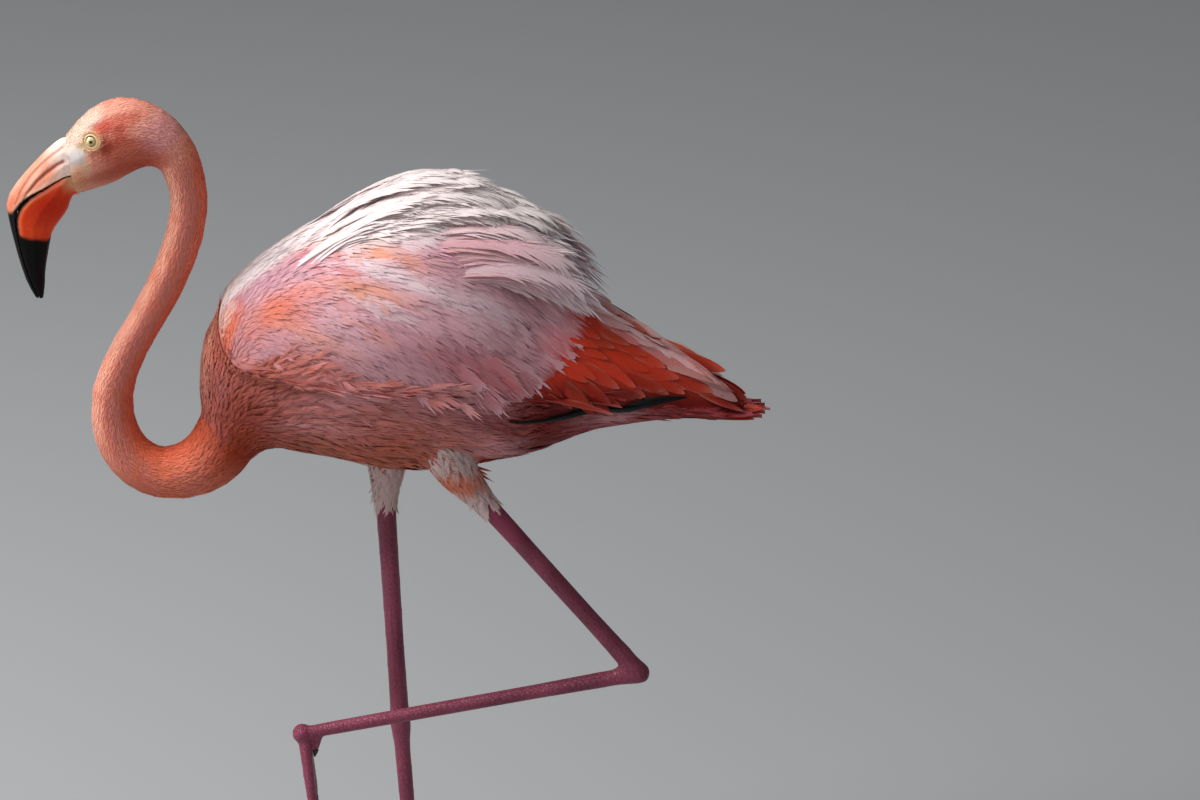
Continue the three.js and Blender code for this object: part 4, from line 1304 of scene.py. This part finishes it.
def lay_plumes(name, named, more, sign, side, seed):
    """Plumes at the named places and between them. sign is 0 for those along the ridge of the back."""
    named = np.array([[*root, *crest, *tip, wide, lean] for root, crest, tip, wide, lean in named], float)
    rng = np.random.default_rng(seed)
    at = np.concatenate([np.arange(6), rng.random(more) * 5])
    rows = np.stack([np.interp(at, range(6), column) for column in named.T], 1)
    jitter = rng.normal(size=(len(at), 9)) * np.array([7, 3, 3, 5, 2, 3, 7, 4, 4])
    jitter[:6] *= 0.15
    rows[:, :9] += jitter
    if not sign:
        across = 26 * (2 * rng.random(len(at)) - 1)
        rows[:, [2, 5, 8]] = across[:, None] * np.array([1.2, 1.0, 0.7])
        rows[:, [4, 7]] -= 0.01 * across[:, None] ** 2
    else:
        rows[:, 4] -= 5 * fade(rows[:, 5], 28, 14)
    shorter = np.concatenate([np.zeros(6), 0.35 * rng.random(more)])[:, None]
    rows[:, 6:9] += (rows[:, 3:6] - rows[:, 6:9]) * shorter
    spots = [rows[:, i : i + 3][:, [0, 2, 1]] * np.array([1, sign or 1, 1]) * MM for i in (0, 3, 6)]
    lean = (0.4 + 0.5 * fade(at, 2.2, 3.6)) * rows[:, 10] * np.clip(rows[:, 5] / 46, 0.2, 1)
    lean = lean + 5 * rng.normal(size=len(at))
    lean = np.radians(lean if sign else 0.6 * rows[:, 5])
    out = np.stack([0 * lean, (sign or 1) * np.sin(lean), np.cos(lean)], 1)
    wing = np.full(len(at), PART[f"wing_{side}"])
    roots = {"place": spots[0], "out": out, "label": wing}
    roots["step"], roots["angle"] = locate(roots["place"], wing)
    reach = np.linalg.norm(spots[2] - spots[0], axis=1)
    crest = spots[1] - (spots[0] + spots[2]) / 2
    halfway = (spots[0] + spots[2]) / 2 + crest * 0.95 - out * (1.5 * MM)
    rooted, skin_out = on_skin(spots[0], out, 1.0, np.full(len(at), -1.5 * MM))
    spots[0] = rooted
    inks = plumage(rooted, wing, roots["step"], roots["angle"]) * (1 + 0.04 * rng.normal(size=(len(at), 1)))
    # The front plumes take the pale colour of the back, which is partly a painted sunlit highlight.
    inks = blend(inks, MANTLE_PALE_AND_SUNLIT, 0.9 * fade(at, 3.6, 2.0))
    inks = blend(inks, tone("#E6BCC6"), 0.8 * fade(at, 2.4, 4.0) * rng.random(len(at)))
    inks = blend(inks, CORAL, 0.3 * rng.random(len(at)) * fade(at, 2.0, 5.0))
    pale = blend(np.tile(tone("#FAF0EF"), (len(at), 1)), tone("#E9D3DC"), 0.7 * fade(at, 2.0, 4.5))
    return lay(
        name, PLUMES, roots, None, (reach, rows[:, 9] * 1.9 * MM, 0.5 * MM), 0.0,
        inks.clip(0, 1), vane_keratin, seed + 2, path=(spots[0], halfway, spots[2]), tips=pale,
    )


for side, sign in (("left", -1), ("right", 1)):
    plumes = lay_plumes(f"plumes_{side}", NAMED, 150, sign, side, 91)
    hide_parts(f"scapulars_{side}")
ridge_plumes = lay_plumes("plumes_ridge", CENTRE, 150, 0, "left", 95)

# %% [markdown]
# ## Flight feathers and tail
# Flight feathers are long, stiff and flat. On the folded wing the red inner ones lie on top, and the black
# outer ones show only as a dark line below them. The tail is a short fan of twelve.


# %% Long feathers from place to place on the skin
def on_side(x, z, sign, rise):
    """Points of the skin's side at (x, z) in mm, raised by rise mm, and the way out of the skin there."""
    found = []
    for px, pz in zip((x * MM).tolist(), (z * MM).tolist()):
        hit = SKIN.ray_cast(Vector((px, sign * 0.2, pz)), Vector((0, -sign, 0)))
        found.append(hit if hit[0] and hit[0].y * sign > 0 else SKIN.find_nearest(Vector((px, sign * 0.04, pz))))
    out = unit(np.array([f[1] for f in found]))
    return np.array([f[0] for f in found]) + out * rise * MM, out


def long_row(name, rows, sign, side, size, rises, inks, tips, seed):
    """Long feathers on one side, each through three (x, z) in mm, raised over the skin."""
    rows = np.array(rows, float)
    path = [on_side(rows[:, 2 * i], rows[:, 2 * i + 1], sign, rise) for i, rise in enumerate(rises)]
    roots = {"place": path[0][0], "out": path[1][1], "label": np.full(len(rows), PART[f"flight_{side}"])}
    roots["step"], roots["angle"] = locate(roots["place"], roots["label"])
    reach = np.linalg.norm(path[2][0] - path[0][0], axis=1)
    spots = tuple(spot_and_out[0] for spot_and_out in path)
    return lay(name, LONG, roots, None, (reach, *size), 0.0, inks, flight_keratin, seed, path=spots, tips=tips)


for side, sign in (("left", -1), ("right", 1)):
    wing = is_part(label, f"wing_{side}", f"flight_{side}")
    red = points[:, 0] / MM - (points[:, 2] / MM - 611) * 0.45 > 106
    foot = points[:, 2] > np.interp(points[:, 0], *WING_FOOT.T) + 6 * MM
    low_front = (points[:, 0] > 0.088) & (points[:, 2] < np.interp(points[:, 0], *WING_FOOT.T) + 24 * MM)
    roots = scatter(wing & (red | low_front) & foot & (points[:, 0] < 0.24), even_gap(9.5), 101)
    roots = chosen_of(roots, room_below(roots, lie_of(roots), 5 * MM) > 14 * MM)
    ways = lie_of(roots)
    rng = np.random.default_rng(102)
    tip_x = 0.303 - 0.35 * np.abs(roots["place"][:, 2] - 0.576) - 0.014 * rng.random(len(ways))
    free = np.minimum(room_below(roots, ways, 5 * MM), np.maximum(tip_x - roots["place"][:, 0], 9 * MM))
    high = fade(roots["place"][:, 2] / MM, 622, 640)
    span = np.minimum((78 - 44 * high) * MM, free) * (0.85 + 0.15 * rng.random(len(ways)))
    ends = roots["place"] + ways * span[:, None]
    in_air = np.array([SKIN.find_nearest(p)[3] for p in ends.tolist()]) > 0.17 * span
    span = np.where(in_air, 0.55 * span, span)
    inks, tips = tinted(roots, ways, span * 0.75, 103, 0.08)
    inks = blend(inks, tips, 0.25 + 0.75 * (rng.random(len(span)) < 0.85))
    flushed = blend(tips, tone("#F0A593"), 0.5 * rng.random(len(tips)))
    red_vanes = lay(
        f"flight_red_{side}", LONG, roots, ways, (span, np.clip(0.24 * span, 5 * MM, 15 * MM), 0.4 * MM), 1.8 * MM,
        inks, flight_keratin, 104, tips=flushed, roll=6, edge=(9, 7),
    )
    starts = np.linspace(88, 178, 15)
    stations = np.stack([starts, starts + 27, starts + 54], 1)
    heights = np.interp(stations, *(WING_FOOT.T / MM)) + np.array([0.0, 1.0, 2.0])
    rows = np.stack([stations, heights], 2).reshape(len(starts), 6)
    night, widths = np.tile(BLACK, (len(rows), 1)), np.interp(starts, [88, 130], [2.6, 6.0]) * MM
    black = long_row(
        f"flight_black_{side}", rows, sign, side, (widths, 0.8 * MM), (1.0, 4.6, 3.8), night, night * 1.3, 105
    )

# %% Tail fan
k = np.linspace(-1, 1, 12)
root = np.stack([200 + 0 * k, 12 * k, 577 - 4 * k**2], 1) * MM
tip = np.stack([297 - 9 * k**2, 15 * k, 570 - 4 * np.abs(k)], 1) * MM
half = (root + tip) / 2 + np.array([0, 0, 2.0]) * MM
out = unit(np.stack([0 * k, 0.35 * k, 1 + 0 * k], 1))
roots = {"place": root, "out": out, "label": np.full(12, PART["tail"])}
roots["step"], roots["angle"] = locate(root, roots["label"])
half += np.stack([0 * k, 0 * k, 0.7 * (1 - np.abs(k))], 1) * MM
webs, rims = (np.tile(tone(ink), (12, 1)) for ink in ("#CF4630", "#D9604C"))
tail_fan = lay(
    "tail_fan", LONG, roots, None, (100 * MM, 13 * MM, 0.8 * MM), 0.0, webs, flight_keratin, 107,
    path=(root, half, tip), tips=rims, edge=(10, 6),
)

# %% [markdown]
# ## Bill
# A flamingo's bill is bent in the middle, with a deep lower half that the upper half closes like a lid.
# It is horn over bone: satin, with a long nostril groove, a black edge along the mouth widened by painted shadow in
# the gap, and a black tip.
# The two solids are remeshed finely, so that grooves can be pressed in by moving their points.

# %% Bill halves
CULMEN = [(-258, 794), (-266, 788), (-275, 780), (-284, 770), (-292, 758), (-297, 746)]
NOSTRIL = [(-258, 783), (-263, 780), (-271, 773.5), (-279, 766), (-287, 756), (-293, 745)]
HEAD_EDGE = np.array([-254.6, 0, 775.8]) * MM
TO_HEAD = np.array([math.cos(math.radians(8)), 0, math.sin(math.radians(8))])


def bill_half(name, other, edge_in):
    """One half of the bill: remeshed, smoothed, pushed a little into the head, and how far it lies from the mouth."""
    made = remeshed(merged_copy([name], 0.05 * MM), name.replace("bill", "beak"), 0.62 * MM)
    places, links = corners_of(made.data), edges_of(made.data)
    places = evened(places, links, 0.5, 0.5, 10)
    corners = corners_of(nodes[other].data)
    facing = BVHTree.FromPolygons(corners.tolist(), triangles_of(nodes[other].data).tolist())
    mouth = np.array([facing.find_nearest(p)[3] for p in places.tolist()]) / MM
    back = (places - HEAD_EDGE) @ TO_HEAD
    from_middle = places - HEAD_EDGE - back[:, None] * TO_HEAD
    places -= unit(from_middle) * (np.clip(1 + back / (6 * MM), 0, 1) ** 2 * edge_in * MM)[:, None]
    places += TO_HEAD * (np.clip(1 + back / (1.0 * MM), 0, 1) * 3.5 * MM)[:, None]
    return made, places, mouth


def finish_bill(made, places, colours, mouth, material):
    made.data.vertices.foreach_set("co", places.ravel())
    set_tint(made.data, colours.clip(0, 1))
    made.data.attributes.new("mouth", "FLOAT", "POINT").data.foreach_set("value", mouth)
    made.data.shade_smooth()
    made.data.materials.append(material)
    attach(made, "root")
    print(f"{made.name}: {len(made.data.polygons)} faces")


# %% Bill horn
def bill_material(name, line_wide, mouth_dark_and_shadow):
    """Satin horn with the painted tint, fine growth lines, and a dark edge along the mouth: the black horn edge with
    painted shadow in the gap.
    """
    made, tree = new_material(name)
    mouth = add_node(tree, "Attribute", attribute_name="mouth").outputs["Fac"]
    place = add_node(tree, "TexCoord").outputs["Object"]
    wear = add_node(tree, "TexNoise", {"Vector": place, "Scale": 240.0, "Detail": 4.0, "Roughness": 0.6})
    span = {"From Min": 0.3, "From Max": 0.7, "To Min": 0.9, "To Max": 1.08}
    light = add_node(tree, "MapRange", {"Value": wear, **span})
    wobble = add_node(tree, "Math", {0: wear, 1: -0.8, 2: mouth}, operation="MULTIPLY_ADD")
    # The dark band along the mouth is partly the black horn edge and partly painted shadow in the gap between the
    # halves.
    edge = add_node(tree, "MapRange", {"Value": wobble, "From Min": line_wide - 0.5, "From Max": line_wide + 0.4})
    inked = add_node(tree, "Mix", {0: edge, 6: rgba(mouth_dark_and_shadow), 7: add_tint(tree, light)}, data_type="RGBA")
    add_surface(
        tree, Base_Color=inked.outputs[2], Roughness=0.42, IOR=1.54, Specular_IOR_Level=0.1, Coat_Weight=0.03,
        Coat_Roughness=0.25, Normal=add_bump(tree, wear, 0.25, 0.3 * MM),
    )
    return made


upper_half, places, mouth = bill_half("bill_upper", "bill_lower", 1.0)
x, z = places[:, 0] / MM, places[:, 2] / MM
culmen, nostril = gap_to_line(places, CULMEN), gap_to_line(places, NOSTRIL)
deep = fade(z, 745, 775)
press = near(culmen, 0.8) * 0.45 + near(nostril, 0.6 + 0.9 * deep) * (0.4 + 0.9 * deep)
beside = np.abs(places[:, 1]) > 3 * MM
places[:, 1] -= np.sign(places[:, 1]) * press * beside * MM
colours = np.tile(tone("#EFA286"), (len(places), 1))
paint = paint_on(colours)
paint("#F8D3C2", fade(ripple(places, 12, 51), -0.2, 1.0) * 0.4)
paint("#E77F5E", fade(z, 772, 742) * 0.8)
paint("#F7E4DA", fade(x + 0.6 * (z - 785), -278, -256) * 0.9)
paint("#B4523C", near(culmen, 0.8) * beside * 0.6)
paint("#B0503C", near(nostril, 0.8 + 0.8 * deep) * beside * 0.85)
paint("#F9CDB8", near(mouth - 3.2, 1.3) * 0.6)
paint(BLACK, fade(z - 0.15 * (x + 300) + 1.5 * ripple(places, 8, 53), 741, 737))
mouth = mouth / (1 + 1.8 * fade(z, 768, 738))
finish_bill(upper_half, places, colours, mouth, bill_material("bill_horn_pale", 1.0, "#0C0707"))
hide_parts("bill_upper")

lower_half, places, mouth = bill_half("bill_lower", "bill_upper", 1.4)
x, z = places[:, 0] / MM, places[:, 2] / MM
colours = np.tile(tone("#EA4A20"), (len(places), 1))
paint = paint_on(colours)
paint("#BE1C08", spot(places, -270, 745, 12, 15, -60, 0.9) * 0.75)
paint("#F7966C", near(mouth - 2.8, 1.4) * 0.7)
paint("#E3B386", spot(places, -250, 768, 7, 9, -20, 0.8) * 0.85)
paint(BLACK, fade(z + 0.2 * (x + 288) + 1.0 * ripple(places, 8, 55), 721, 716.5))
mouth = mouth / (1 + 1.8 * fade(z, 768, 738))
finish_bill(lower_half, places, colours, mouth, bill_material("bill_horn_red", 0.6, "#0C0707"))
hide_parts("bill_lower")

# %% [markdown]
# ## Eyes
# The eye is a wet, glossy ball with a pale yellow iris, a fine dark rim and a small black pupil.
# It is a sphere whose colour is drawn by how far a place lies from the eye's own axis.

# %% Eyes
BALL, BALL_IN = 4.6 * MM, 16.2 * MM
eye_wet, tree = new_material("wet_eye")
place = add_node(tree, "TexCoord").outputs["Object"]
part = add_node(tree, "SeparateXYZ", {"Vector": place})
flat = add_node(tree, "CombineXYZ", {"X": part.outputs["X"], "Z": part.outputs["Z"]})
axis = add_node(tree, "VectorMath", {0: flat, 1: (EYE[0], 0.0, EYE[2])}, operation="DISTANCE")
ring = add_node(tree, "MapRange", {"Value": axis.outputs["Value"], "From Max": 0.005})
iris = add_node(tree, "ValToRGB", {"Fac": ring})
stops = [(0.0, "#050404"), (0.22, "#050404"), (0.27, "#C9A95E"), (0.45, "#E9DFA4")]
stops += [(0.68, "#F0E9BE"), (0.74, "#C7A468"), (0.79, "#4A2E1A")]
for i, (at, ink) in enumerate(stops):
    stop = iris.color_ramp.elements[i] if i < 2 else iris.color_ramp.elements.new(at)
    stop.position, stop.color = at, rgba(ink)
add_surface(tree, Base_Color=iris, Roughness=0.12, IOR=1.38, Coat_Weight=1.0, Coat_Roughness=0.03)
for side, sign in (("left", -1), ("right", 1)):
    bm = bmesh.new()
    bmesh.ops.create_uvsphere(bm, u_segments=48, v_segments=32, radius=BALL)
    bmesh.ops.translate(bm, verts=bm.verts, vec=(EYE[0], sign * BALL_IN, EYE[2]))
    mesh = bpy.data.meshes.new(f"eyeball_{side}")
    bm.to_mesh(mesh)
    bm.free()
    mesh.shade_smooth()
    mesh.materials.append(eye_wet)
    eyeball = bpy.data.objects.new(f"eyeball_{side}", mesh)
    bpy.context.scene.collection.objects.link(eyeball)
    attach(eyeball, "root")
    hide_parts(f"eye_{side}")

# %% [markdown]
# ## Claws
# The claws keep their solids, and get dark horn with lengthwise growth lines.

# %% Claw horn
claw_horn, tree = new_material("claw_horn")
place = add_node(tree, "TexCoord").outputs["Object"]
growth = add_node(tree, "TexNoise", {"Vector": place, "Scale": 700.0, "Detail": 3.0})
shade = add_node(tree, "ValToRGB", {"Fac": growth})
shade.color_ramp.elements[0].color, shade.color_ramp.elements[1].color = rgba("#17100F"), rgba("#4A2C2E")
add_surface(tree, Base_Color=shade, Roughness=0.35, Normal=add_bump(tree, growth, 0.3, 0.2 * MM))
for name, node in nodes.items():
    if name.startswith("claw"):
        node.data.materials.clear()
        node.data.materials.append(claw_horn)
